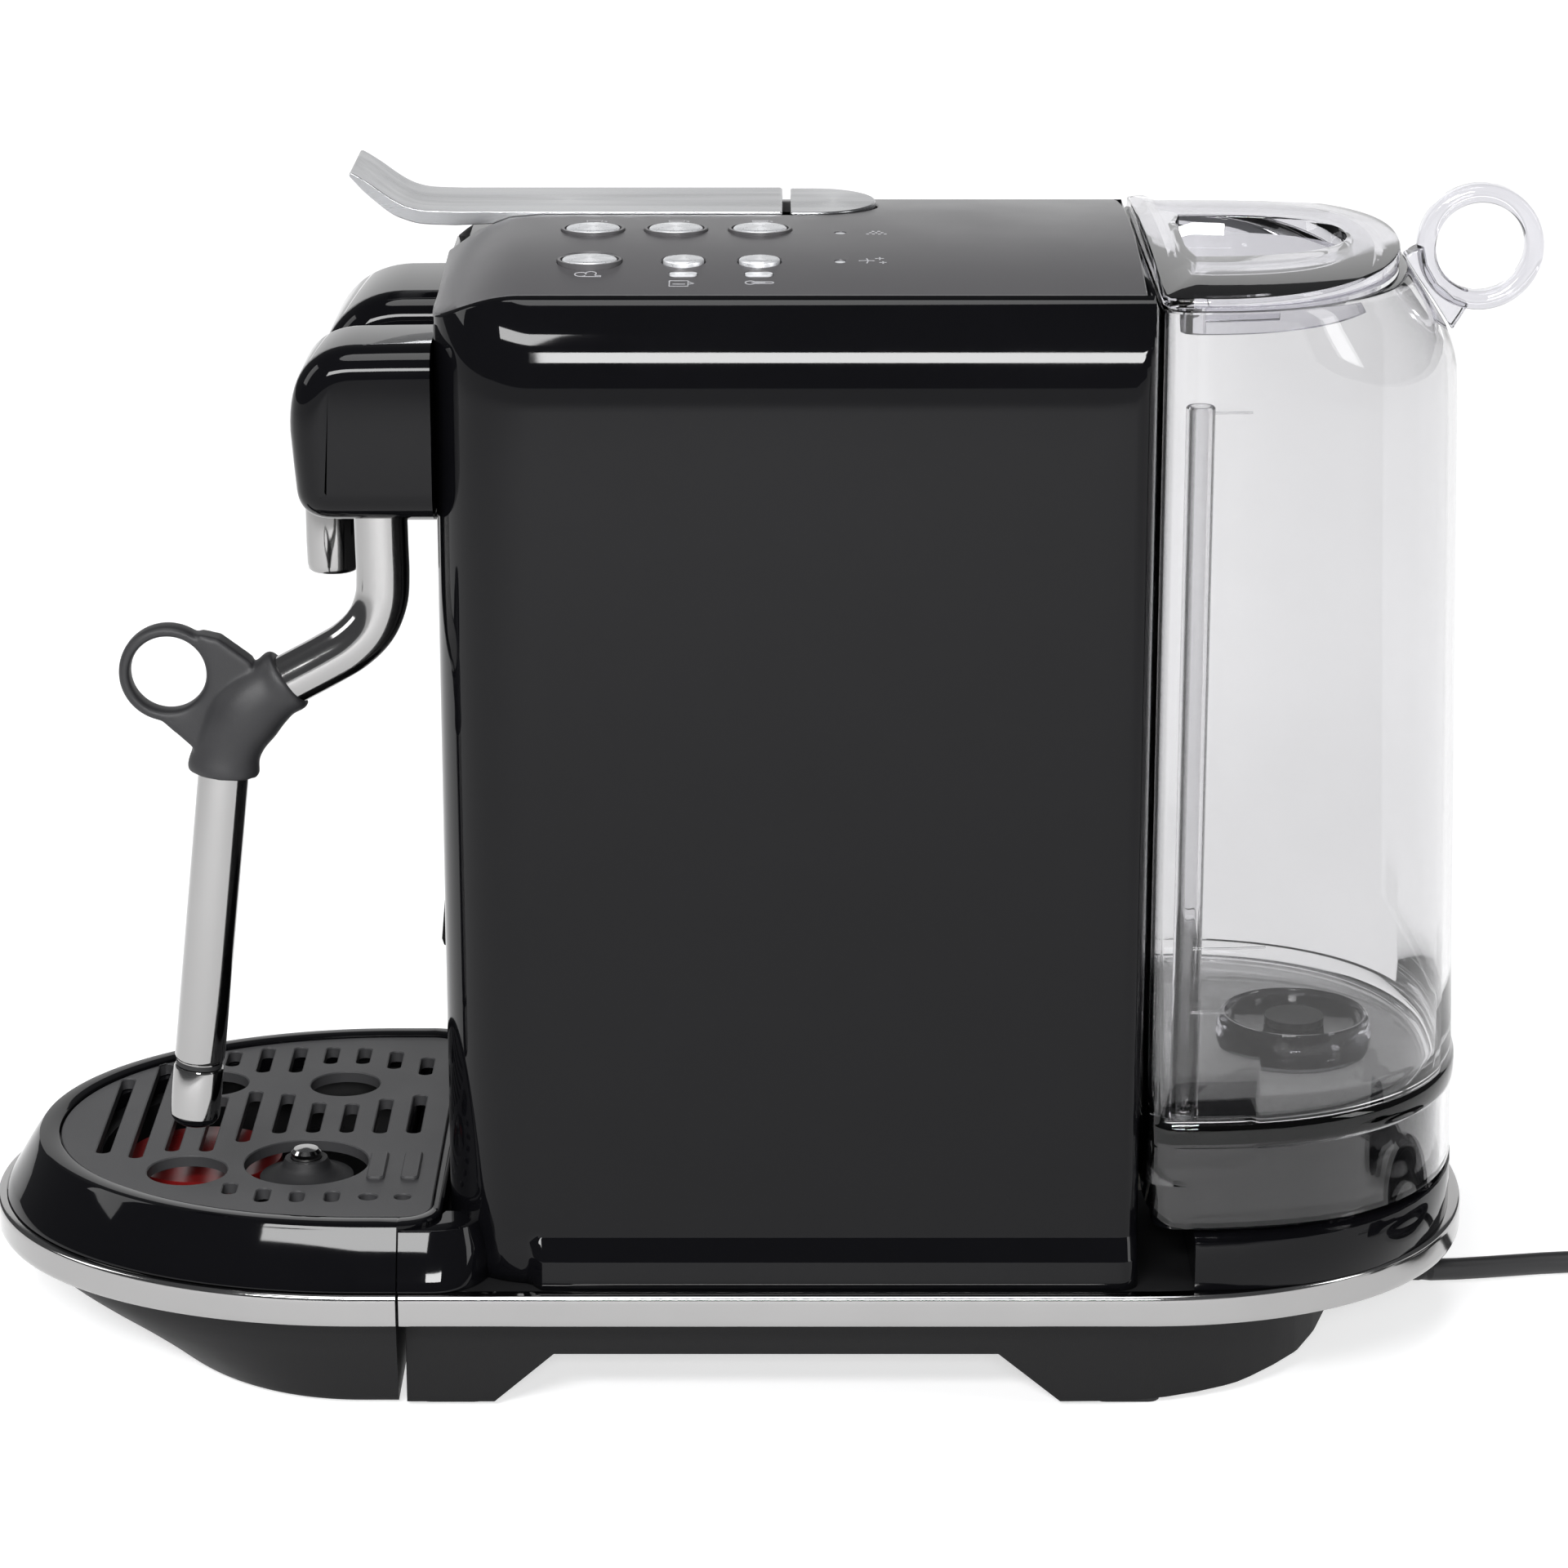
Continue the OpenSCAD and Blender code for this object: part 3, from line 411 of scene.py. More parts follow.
gp = catmull([(-6, 153, 14.6), (-6, 156, 13.4), (-6, 163, 10.3), (-6, 170, 7.4), (-6, 176, 5.5), (-6.5, 181, 4.05), (-7.2, 187, 3.5)], 5)
gr = []
for i in range(len(gp)):
    s = i / (len(gp) - 1)
    gr.append((4.35 * (1 - s) + 3.25 * s) - (0.35 if (i % 3 == 1 and 0.2 < s < 0.95) else 0.0))
v1, f1 = tube(gp, gr, 28)
v2, f2 = grid([[(x, y, z) for x, y in rrect(-13, 146.4, 1, 154.4, 1.2)] for z in (9.2, 31)], cap0=True, cap1=True)
gland = finish_mesh("strain_relief", *join((v1, f1), (v2, f2)), "rubber", "root", ("cord_gland",), angle=50)

# ---------------------------------------------------------------- body form
CROWN_R, DECK_Z = 363.0, 295.7


def crown(x):
    return DECK_Z - x * x / (2 * CROWN_R)


def ztop(x, y):
    return crown(x) - 9.5 * (max(0.0, (-56 - y) / 22)) ** 2


def flare_w(z):
    return 75.5 + (0 if z >= 46 else 0.79 * (46 - z) if z >= 40.8 else 4.108 + 0.155 * (40.8 - z))


def turn_in(a):
    """How far the roundover has taken over from the plain front corner at plan angle a."""
    return smooth((a - 270) / 90)


NA = 28


def corner_a():
    return arc(50.5, -53, 25, 270, 360, NA)


def half_ring(z, w=None):
    ww = flare_w(z)
    c = [(x + (ww - 75.5) * (0.12 + 0.88 * smooth((y + 57) / 4.5)) * (x - 50.5) / 25, y) for x, y in corner_a()]
    side = [(ww, y) for y in range(-45, 94, 12)]
    rear = arc(ww - 5, 95, 5, 0, 90, 6)
    front = [(50.15, -78), (50.15, -75.4), (47.5, -75.4)] if 50 <= z <= 278 else [(50.15, -78), (50.12, -78), (47.5, -78)]
    return front[::-1] + c + side + rear + [(40, 100), (14, 100)]


zs = [33.5, 36, 38, 40.4, 40.8, 41.2, 42, 43.5, 44.8, 46, 48, 49.9, 50.0, 52, 54, 56, 58, 60, 62, 66, 80, 110, 150, 190, 225, 250, 262]
rings = []
for z in zs:
    h = half_ring(z)
    rings.append([(x, y, z) for x, y in h] + [(-x, y, z) for x, y in reversed(h)])
for w, z in bez((75.5, 262), (75.5, 281), (66.5, crown(66.5)), 14)[1:]:
    h = half_ring(min(z, 277.9) if z < 278 else 280)
    row = []
    for k, (x, y) in enumerate(h):
        if k < 4 + NA:
            a = 270 + 90 * max(0, k - 3) / NA
            q = 25 - (75.5 - w) * turn_in(a)
            X, Y = (50.5 + q * math.cos(math.radians(a)), -53 + q * math.sin(math.radians(a))) if k >= 3 else (x, y)
            e = 25 - 9.0 * turn_in(a)
            XE, YE = (50.5 + e * math.cos(math.radians(a)), -53 + e * math.sin(math.radians(a))) if k >= 3 else (x, y)
            row.append((X, Y, 262 + (z - 262) * (ztop(XE, YE) - 262) / (crown(66.5) - 262)))
        else:
            X = min(x, w)
            row.append((X, y, min(z, ztop(X, y))))
    rings.append(row + [(-x, y, zz) for x, y, zz in reversed(row)])
nh = len(rings[0])
verts, faces = grid(rings)
keep = []
for q in faces:
    cx = sum(verts[i][0] for i in q) / 4; cy = sum(verts[i][1] for i in q) / 4; cz = sum(verts[i][2] for i in q) / 4
    if abs(cx) < 47.4 and cy < 0:
        if not (cz < 50 or cz > 277.5):
            continue
    keep.append(q)
casing = finish_mesh("casing_shell", verts, keep, "gloss_black", "root", ("casing",), angle=22)
so = casing.modifiers.new("thick", "SOLIDIFY")
so.thickness, so.offset = 2.0 * MM, -1

# the casing's front corners carry the tray's side form back round the tray
SIDE = [(33.6, 82.6), (34.6, 82.45), (37, 81.4), (40, 80.0), (43.6, 78.2), (46.8, 76.4), (48.2, 75.6)]


def side_x(z):
    for i in range(len(SIDE) - 1):
        if z <= SIDE[i + 1][0]:
            u = (z - SIDE[i][0]) / (SIDE[i + 1][0] - SIDE[i][0])
            return SIDE[i][1] * (1 - u) + SIDE[i + 1][1] * u
    return SIDE[-1][1]


hz = [33.6, 34.6, 37, 40, 43.6, 46.8, 47.5, 47.9, 48.0]
rings = []
for z in hz:
    w = side_x(z)
    u = (z - 33.6) / 15.3
    end = -67.5 - 6.0 * max(0.0, u - 0.45) ** 1.3
    ins = 0.12 if z > 47.95 else 0.0
    w, end = w - ins, end - ins
    out = [(w - 0.2, -90.2), (w, -90.0)] + [(w, -89 + 2 * i) for i in range(4)] + bez((w, -82), (w, end - 1.0), (65.5, end + 1.5), 18)[1:]
    out += [(62, -76), (62, -78.6)] + [(64.2 + 11.1 * math.cos(math.radians(a_)), -90.5 + 11.1 * math.sin(math.radians(a_))) for a_ in range(90, 5, -10)] + [(75.3, -90.2)]
    rings.append([(x, y, z) for x, y in out])
v, f = grid(rings, cap0=True, cap1=True)
finish_mesh("casing_corners", *join((v, f), ([(-x, y, z) for x, y, z in v], f)), "gloss_black", "root", angle=32)


# ---------------------------------------------------------------- deck with its openings
def deck_outline(o=0):
    x1, y1 = 66.4 + o, 97.9 + o
    pts = []
    for i in range(41):
        a = 270 + 90 * i / 40
        q = 24.9 + o - 9.0 * turn_in(a)
        pts.append((50.5 + q * math.cos(math.radians(a)), -53 + q * math.sin(math.radians(a))))
    ymeet = pts[-1][1]
    n = 30
    right = [(x1, ymeet + (y1 - ymeet) * i / n) for i in range(1, n + 1)]
    return pts + right + [(60 - 12 * i, y1) for i in range(0, 11)] + [(-x, y) for x, y in reversed(right)] + [(-x, y) for x, y in reversed(pts)] + \
        [(-44, -77.9 - o)] + [(-47.7 - 0.0, -77.9 - o)]


def deck_full(o=0):
    """The deck's outline, with the lever's channel and rear cap taken out of its front edge."""
    base = deck_outline(o)[:-2]
    cap = [(-10.3 - o, 17)] + [(-29 + (18.7 - o * -1 * -1) * math.cos(math.radians(12 * i)), 17 + (16.7 - o) * math.sin(math.radians(12 * i))) for i in range(1, 15)] + [(-47.7 + o, 17)]
    cut = [(-47.7 + o, -77.9 - o)] + [(-47.7 + o, y) for y in range(-70, 11, 8)] + cap[::-1] + [(-10.3 - o, y) for y in range(10, -71, -8)] + [(-10.3 - o, -77.9 - o)]
    # o < 0 shrinks the plate, so the cut grows: mirror its offset
    cut = []
    g = -o
    cut.append((-47.7 - g, -77.9 - o))
    cut += [(-47.7 - g, y) for y in range(-70, 11, 8)]
    cut += [(-29 + (18.7 + g) * math.cos(math.radians(180 - 12 * i)), 17 + (16.7 + g) * math.sin(math.radians(180 - 12 * i))) for i in range(0, 16)]
    cut += [(-10.3 + g, y) for y in range(10, -71, -8)]
    cut.append((-10.3 + g, -77.9 - o))
    return base + cut


BTN = [(10.4, -39.6), (10.4, -18.5), (10.4, 2.9), (41.2, -39.4), (41.2, -16.0), (41.2, 2.9)]
BRAD = [6.9, 6.9, 6.9, 6.9, 5.15, 5.15]
holes = [circle(x, y, 8.05 if i < 4 else 5.5) for i, (x, y) in enumerate(BTN)]
holes += [rbox(49.4, -19.4, 53.4, -12.4, 1.6), rbox(49.4, -0.7, 53.4, 6.3, 1.6), circle(14, 23.3, 1.35, 24), circle(41.4, 23, 1.35, 24)]
v, f = plate(deck_full, holes, ztop, 3.0, 0.3, 4.0)
finish_mesh("deck_plate", v, f, "deck_grey", "root", ("top_deck",), angle=30)

# ---------------------------------------------------------------- buttons
for i, nm in enumerate(["cup_small", "cup_medium", "cup_large", "steam", "milk", "heat"]):
    x, y = BTN[i]
    r, z = BRAD[i], crown(x)
    v, f = lathe([(0, 281.4), (2.1, 281.4), (2.1, 287), (r - 0.3, 287), (r, 287.3), (r, z + 0.05), (r - 0.12, z + 0.4), (r - 0.4, z + 0.66),
                  (r - 0.9, z + 0.76), (r * 0.7, z + 0.84), (r * 0.45, z + 0.91), (r * 0.2, z + 0.95), (0, z + 0.97)], n=64, centre=(x, y, 0))
    finish_mesh("button_" + nm + "_cap", v, f, "button", "button_" + nm, ("button_" + nm,), origin=(x, y, z))


# ---------------------------------------------------------------- printed marks on the deck
def ribbon(pts, w, top):
    n, out = len(pts), []
    for i, p in enumerate(pts):
        a_, b_ = Vector(pts[max(i - 1, 0)]), Vector(pts[min(i + 1, n - 1)])
        t = (b_ - a_).normalized()
        nrm = Vector((-t[1], t[0])) * w / 2
        l, r = Vector(p) + nrm, Vector(p) - nrm
        out.append([(l[0], l[1], top(*l) + 0.035), (r[0], r[1], top(*r) + 0.035), (r[0], r[1], top(*r) - 0.1), (l[0], l[1], top(*l) - 0.1)])
    return grid(out, cap0=True, cap1=True)


def icon(cx, cy, strokes, s=1.0, w=0.34):
    return [ribbon([(cx - v * s, cy + u * s) for u, v in st], w, ztop) for st in strokes]


def ell(u, v, ru, rv, a0=0, a1=360, n=16):
    return [(u + ru * math.cos(math.radians(a0 + (a1 - a0) * i / n)), v + rv * math.sin(math.radians(a0 + (a1 - a0) * i / n))) for i in range(n + 1)]


marks = []
for k, (bx, by) in enumerate(BTN[:3]):
    fill = 0.5 + 0.55 * k
    marks += icon(0.1, by, [[(-2, 1.7), (-1.7, -1.6), (1.7, -1.6), (2, 1.7), (-2, 1.7)], ell(2.2, 0.1, 0.9, 1.0, -80, 80, 8)] + [[(-1.6, -1.3 + 0.4 * q), (1.6, -1.3 + 0.4 * q)] for q in range(int(fill * 4))])
marks += icon(52, -39.6, [ell(-1.6, 0.2, 1.5, 1.5, 40, 320, 12), ell(0.9, 0.7, 1.3, 1.6, -40, 200, 12), [(1.9, -0.6), (3.4, -0.8), (3.4, -1.5), (-1.2, -1.4)]])
marks += icon(58.4, -16.6, [[(-2.6, 1.9), (-2.6, -1.9), (2, -1.9), (2, 1.9), (-2.6, 1.9)], [(2, 1.3), (3.4, 0), (2, -0.6)], [(-1.8, -0.4), (1.3, -0.4)]])
marks += icon(57.8, 2.6, [ell(-1.9, 0, 1.2, 1.2, 30, 330, 14), [(-0.9, 0.6), (3.2, 0.6)] + ell(3.2, 0, 0.6, 0.6, 90, -90, 6) + [(-0.9, -0.6)], [(-1.6, 0), (1.8, 0)]])
for qx in range(3):
    for qy in range(4 - qx):
        marks += icon(15.6 - 1.5 * qx, 30.2 + 1.5 * qy + 0.7 * qx, [[(-0.35, 0), (0.35, 0)]], w=0.8)
for (u, v, r) in ((0, 0, 2.0), (3.2, 1.9, 1.1), (4.0, -1.4, 0.9)):
    marks += icon(41.2, 29.6, [[(u, v + r), (u + r * 0.18, v), (u, v - r)], [(u - r, v), (u, v + r * 0.15), (u + r, v)]])
finish_mesh("deck_marks", *join(*marks), "mark", "root")

# ---------------------------------------------------------------- bands
def band(outline, name, body, node_name):
    prof = [(4.05, 25.05), (1.0, 25.0), (0.35, 25.25), (0.05, 25.9), (0.0, 27), (0.0, 31.5), (0.05, 32.6), (0.35, 33.25), (1.0, 33.45), (4.05, 33.45)]
    rings = []
    cols = [outline(d) for d, _ in prof]
    for k in range(len(cols[0])):
        rings.append([(cols[j][k][0], cols[j][k][1], prof[j][1]) for j in range(len(prof))])
    v, f = grid(rings, loop=True, cap0=True, cap1=True)
    return finish_mesh(name, v, f, "chrome", body, (node_name,), angle=50)


def open_tail(d):
    t = tail(85 - d, -89.7, 100, 92 - d)
    return [t[-1]] + [(85 - d, y) for y in range(-80, 100, 20)] + t[:-2] + [(-(85 - d), y) for y in range(80, -100, -20) if y > -85] + [t[-2]]


def open_nose(d):
    t = nose(85 - d, -100, 104 - d, -90.5)
    return [t[-1]] + t[:-2] + [t[-2]]


band(open_tail, "band_rear", "root", "body_band")
band(open_nose, "band_front", "tray", "tray_band")


# ---------------------------------------------------------------- drip tray
def tray_ring(w, d, z, hw=75.2, ry=-79.5, rc=11.0, step=True):
    t = nose(w, -100, d, -90.5, n=140)[:-2]
    left = [(-w, -95.5), (-w, -90.5), (-hw, -90.45)] if step else [(-w, -95.5), (-w, -90.5), (-w, -90.45)]
    back = [(-hw, ry - rc)] + [(x, y) for x, y in arc(-hw + rc, ry - rc, rc, 180, 90, 10)]
    right = [(-x, y) for x, y in reversed(left + back)]
    return [(x, y, z) for x, y in t + left + back + right]


rings = [tray_ring(82.6, 101.6, 33.65), tray_ring(82.45, 101.4, 34.6), tray_ring(81.4, 100, 37), tray_ring(80.0, 98.2, 40), tray_ring(78.2, 96.1, 43.6), tray_ring(76.4, 94.1, 46.8),
         tray_ring(75.6, 93.1, 48.2), tray_ring(75.2, 92.5, 49.0), tray_ring(74.8, 92.1, 49.45, 74.8, -79.9, 10.6), tray_ring(74.2, 91.5, 49.6, 74.2, -80.5, 10),
         tray_ring(70.0, 87.4, 49.6, 70.0, -81.6, 8.2), tray_ring(69.5, 86.9, 49.35, 69.5, -81.9, 8), tray_ring(69.4, 86.8, 48.8, 69.4, -82, 8),
         tray_ring(69.4, 86.8, 45.5, 69.4, -82, 8), tray_ring(66, 83.4, 45.5, 66, -85, 6), tray_ring(66, 83.4, 34, 66, -86, 6)]
v, f = grid(rings, close=True)
finish_mesh("tray_shell", v, f, "gloss_black", "tray", ("tray_housing",), angle=32)

sk = catmull([(0.8, 75.4, 59.5, 0), (1.6, 76.0, 61.5, 0), (5.2, 77, 67.5, 0), (9.5, 78, 75.5, 0), (14.2, 79, 84.8, 0), (19, 80.1, 92.4, 0), (24.6, 80.85, 97.5, 0)], 5)
rings = []
for s in sk:
    rings.append([(x, y, s[0]) for x, y in nose(s[1], -100, s[2], -90.8, n=140)])
rings.append([(x, y, 33.4) for x, y in nose(80.85, -100, 97.5, -90.8, n=140)])
rings.append([(x, y, 33.4) for x, y in nose(71, -100, 84, -93.2, n=140)])
rings.append([(x, y, 20) for x, y in nose(71, -100, 84, -93.2, n=140)])
rings.append([(x, y, 12) for x, y in nose(70.5, -100, 68, -93.2, n=140)])
rings.append([(x, y, 3.5) for x, y in nose(70, -100, 47, -93.2, n=140)])
v, f = grid(rings, cap0=True, cap1=True)
finish_mesh("tray_skirt_shell", v, f, "matte_black", "tray", ("tray_skirt",), angle=40)


# grate
def grate_outline(o=0):
    w, d = 69.0 + o, 86.4 + o
    t = nose(w, -100, d, -95, n=100)[:-2]
    return t + [(-w, -95)] + arc(-w + 8, -82.4 + o - 8, 8, 180, 90, 8) + arc(w - 8, -82.4 + o - 8, 8, 90, 0, 8) + [(w, -95)]


SP_, SW_ = 9.1, 3.8
far = [(-52, -38), (-57, -43), (-60, -47), (-60.5, -47), (-60.5, -40), (-60, -40), (-57, -45)]
mid = [(-22, 7.5), (-19, 7.5), (-15, 7), (-16, 7), (-23, 7.5), (-25, 14), (-21, 21), (-38, 21), (-47, 26), (-35, 22.5)]
near = [(50, 57.5), (50, 57.5), (48, 57.5), (44, 52)]
gh = []
for lst, y0 in ((far, -91), (mid, -91), (near, -108.9)):
    for i, (x0, x1) in enumerate(lst):
        y = y0 - SP_ * i
        gh.append(rbox(x0, y - SW_ / 2, x1, y + SW_ / 2, SW_ / 2 - 0.02, 6))
for x, y, r in [(54, -90.4, 2.1), (54, -99.4, 2.4), (35, -148.8, 10.6), (-30.8, -112.5, 9.6), (-31.4, -149, 9.6), (29, -117.8, 16.5)]:
    gh.append(circle(x, y, r, 64 if r > 5 else 24))
v, f = plate(grate_outline, gh, lambda x, y: 48.8, 3.1, 0.3, 6.0)
bars = []
for y in (-101, -92):
    bars.append(grid([[(x, yy, 48.5) for x, yy in rrect(22.5, y, 42, y + 4.8, 1.5)], [(x, yy, 49.2) for x, yy in rrect(22.5, y, 42, y + 4.8, 1.5)],
                      [(x, yy, 49.6) for x, yy in rrect(22.9, y + 0.4, 41.6, y + 4.4, 1.2)]], cap0=True, cap1=True))
finish_mesh("grate_plate", *join((v, f), *bars), "grate_grey", "grate", ("drip_grate",), angle=30)


# ---------------------------------------------------------------- heads
def head(x0, x1, prof, r, name, key, replaces):
    n = len(prof)
    nor = []
    for i in range(n):
        a_, b_ = prof[max(i - 1, 0)], prof[min(i + 1, n - 1)]
        t = Vector((b_[0] - a_[0], b_[1] - a_[1])).normalized()
        nor.append(Vector((t[1], -t[0])))
    cy = sum(p[0] for p in prof) / n; cz = sum(p[1] for p in prof) / n
    fix = []
    for i in range(n):
        d = Vector((cy - prof[i][0], cz - prof[i][1]))
        fix.append(nor[i] if nor[i].dot(d) > 0 else -nor[i])
    rings = []
    steps = [i / 10 for i in range(11)]
    xs = [(x0 + r * (1 - math.cos(math.radians(90 * s))), r * (1 - math.sin(math.radians(90 * s)))) for s in steps]
    xs += [((x0 + x1) / 2, 0)]
    xs += [(x1 - (x - x0), ins) for x, ins in reversed(xs[:-1])]
    for x, ins in xs:
        ring = []
        for i in range(n):
            y = prof[i][0] + fix[i][0] * ins
            z = prof[i][1] + fix[i][1] * ins
            if i == 0 or i == n - 1:
                y = -78.15
            ring.append((x, min(y, -78.15), z))
        rings.append(ring)
    v, f = grid(rings, cap0=True, cap1=True)
    return finish_mesh(name, v, f, key, "root", replaces, angle=40)


sp_ = [(-78.15, 231.5), (-88, 231.5), (-98, 231.5)] + bez((-103, 231.5), (-111.6, 231.6), (-112.3, 239), 10) + [(-112.9, 246)] + \
    bez((-113.5, 254), (-113.9, 275.2), (-97, 275.6), 16) + [(-88, 275.8), (-78.15, 275.9)]
steam = head(27, 65, sp_, 8, "steam_head", "gloss_black", ("steam_housing",))
br_ = [(-78.15, 214.5), (-88, 214.5), (-99, 214.5)] + bez((-106, 214.5), (-117.2, 214.6), (-117.3, 226), 10) + [(-116.6, 236), (-115, 246)] + \
    bez((-113, 255), (-108, 275.2), (-90, 275.8), 16) + [(-78.15, 275.9)]
brew = head(-55, -3, br_, 8, "brew_head", "gloss_black", ("brew_housing",))


def cut(o, v, f, name):
    me = bpy.data.meshes.new(name)
    me.from_pydata([tuple(c * MM for c in p) for p in v], [], f)
    bm = bmesh.new(); bm.from_mesh(me)
    bmesh.ops.recalc_face_normals(bm, faces=bm.faces)
    bm.to_mesh(me); bm.free()
    c = bpy.data.objects.new(name, me)
    scene.collection.objects.link(c)
    mod = o.modifiers.new("cut", "BOOLEAN")
    mod.object, mod.operation, mod.solver = c, "DIFFERENCE", "EXACT"
    bpy.context.view_layer.update()
    dg = bpy.context.evaluated_depsgraph_get()
    me2 = bpy.data.meshes.new_from_object(o.evaluated_get(dg))
    o.modifiers.remove(mod)
    old = o.data
    o.data = me2
    bpy.data.objects.remove(c)
    bpy.data.meshes.remove(old)


WX = 46.0
slot_pts = rrect(WX - 7.55, -109, WX + 7.55, -83.2, 3)
cut(steam, *grid([[(x, y, z) for x, y in slot_pts] for z in (225, 262)], cap0=True, cap1=True), name="slot_cut")
cut(brew, *grid([[(-29 + 5.2 * math.cos(t_ * math.pi / 16), -108.6 + 5.2 * math.sin(t_ * math.pi / 16), z) for t_ in range(32)] for z in (205, 221)], cap0=True, cap1=True), name="spout_cut")

v, f = lathe([(2.0, 214.4), (7.0, 214.4), (7.2, 213.6), (7.2, 204), (7.05, 198.5), (6.8, 197), (6.3, 196.5), (3.4, 196.5), (2.6, 198), (2.0, 200), (2.0, 214.4)], centre=(-29, -111.6, 0))
finish_mesh("spout_tube", v, f, "chrome", "root", ("coffee_spout",))

# ---------------------------------------------------------------- wand
wp = [(WX, -92.5, 229), (WX, -92.4, 222), (WX, -92.3, 214), (WX, -92.9, 207.5), (WX, -95.6, 201), (WX, -100.6, 195.8), (WX, -107, 191.8), (WX, -113.4, 188.3), (WX, -119.5, 185)]
v, f = tube([(WX, -92.5, 237.1), (WX, -92.5, 233)] + catmull(wp, 6), 6.75, 40)
v2, f2 = lathe([(2.56, -7.2), (7.2, -7.2), (7.6, -6.8), (7.6, 6.8), (7.2, 7.2), (2.56, 7.2), (2.56, -7.2)], n=48, matrix=PLUG, centre=(WX, -92.5, 240))
finish_mesh("wand_bent_tube", *join((v, f), (v2, f2)), "chrome", "wand", ("wand_upper_tube",))

WM = Matrix.Translation((WX, -134.2, 162)) @ Matrix.Rotation(math.radians(-6.45), 4, "X")
v, f = lathe([(4.5, 0), (6.5, 0), (6.5, -77.2), (6.3, -77.9), (5.9, -78.3), (5.9, -78.6), (4.5, -78.6)], matrix=WM)
finish_mesh("wand_straight_tube", v, f, "chrome", "wand", ("wand_lower_tube",))
v, f = lathe([(1.2, -93.4), (6.4, -93.4), (6.48, -92.5), (6.5, -91), (6.5, -80.6), (6.3, -80.1), (5.9, -79.9), (1.2, -79.9), (1.2, -93.4)], matrix=WM)
finish_mesh("wand_tip", v, f, "chrome", "wand", ("wand_nozzle",))
v, f = lathe([(1.2, -96.6), (3, -96.5), (4.3, -96.0), (5.4, -95.2), (6.1, -94.3), (6.35, -93.5), (1.2, -93.5), (1.2, -96.6)], matrix=WM)
finish_mesh("wand_tip_end", v, f, "gloss_black", "wand")

# grip: body, ring and web, fused into one moulded rubber form
parts = []
elbow = catmull([(WX, -116.6, 187.2), (WX, -118.3, 186.0), (WX, -121.2, 184.0), (WX, -126.0, 180.2), (WX, -130.0, 175.2), (WX, -132.6, 169.6), (WX, -133.9, 164.6), (WX, -134.3, 161.9)], 3)
er = [8.1, 8.5, 8.7, 8.7, 8.5, 8.3, 8.4, 8.8, 9.2, 9.5, 9.7, 9.7, 9.5, 9.2, 8.9, 8.7, 8.6, 8.8, 9.1, 9.3, 9.2, 8.9]
ev, ef = tube(elbow, er, 40)
parts.append(([(WX + (x - WX) * 0.9, y, z) for x, y, z in ev], ef))
rt = []
for k in range(64):
    t = 2 * math.pi * k / 64
    c_, s_ = math.cos(t), math.sin(t)
    rt.append([(WX + 3.7 * sp(math.cos(q * math.pi / 8), 3), -147.3 + (11.15 + 1.5 * sp(math.sin(q * math.pi / 8), 3)) * c_, 188.6 + (11.15 + 1.5 * sp(math.sin(q * math.pi / 8), 3)) * s_) for q in range(16)])
parts.append(grid(rt, close=True))
parts.append(along_x(WX - 3.9, WX + 3.9, [(-139.2, 199.2), (-134, 198), (-126, 192), (-124, 172), (-140, 168), (-149, 176.2), (-146.3, 176.0), (-141.6, 177.6), (-138.2, 181.2), (-136.4, 185.5), (-136.3, 190.2), (-137.2, 195)]))
grip = finish_mesh("grip_moulding", *join(*parts), "silicone", "wand", ("wand_grip",))
rm = grip.modifiers.new("fuse", "REMESH")
rm.mode, rm.voxel_size, rm.use_smooth_shade = "VOXEL", 0.5 * MM, True
sm = grip.modifiers.new("soft", "SMOOTH")
sm.iterations, sm.factor = 22, 0.5

# ---------------------------------------------------------------- lever and cap
lp = [(8.6, 294.5), (8.6, 295.8), (8.1, 296.3)] + [(y, 296.3) for y in range(0, -76, -12)] + \
    catmull([(-76, 296.3), (-84, 296.6), (-88, 297.4), (-91, 298.7), (-94, 300.6), (-97, 302.8), (-100, 304.8), (-102.4, 306.2)], 4) + \
    [(-103.1, 306.25), (-103.4, 305.9), (-103.1, 305.2)] + catmull([(-100, 301.8), (-96.6, 298.8), (-92.4, 295.6), (-88, 293.8), (-84, 293), (-76, 292.7)], 4) + \
    [(-60, 293.3), (-54, 294.4), (-30, 294.4)]
v, f = along_x(-47, -11, lp)
lug = []
for s in (-1, 1):
    x0 = -29 + s * 8.6 - 1.6
    lug.append(lathe([(1.25, 0), (2.2, 0), (2.2, 3.2), (1.25, 3.2), (1.25, 0)], n=40, matrix=PLUG, centre=(x0, 5, 292)))
    lug.append(along_x(x0, x0 + 3.2, [(2.9, 293.3), (7.1, 293.3), (7.1, 294.8), (2.9, 294.8)]))
finish_mesh("lever_arm", *join((v, f), *lug), "satin", "lever", ("lever",), bevel=0.45, segs=3)


def cap_plan(o):
    return [(-11 + o, 10.7), (-47 - o, 10.7), (-47 - o, 17)] + [(-29 + (18 + o) * math.cos(math.radians(180 - 6 * i)), 17 + (16 + o) * math.sin(math.radians(180 - 6 * i))) for i in range(1, 30)] + [(-11 + o, 17)]


v, f = grid([[(x, y, z) for x, y in cap_plan(0)] for z in (291.05, 296.1)], cap0=True, cap1=True)
finish_mesh("lever_cap", v, f, "satin", "root", ("lever_rear_cap",), bevel=0.45, segs=3, angle=50)


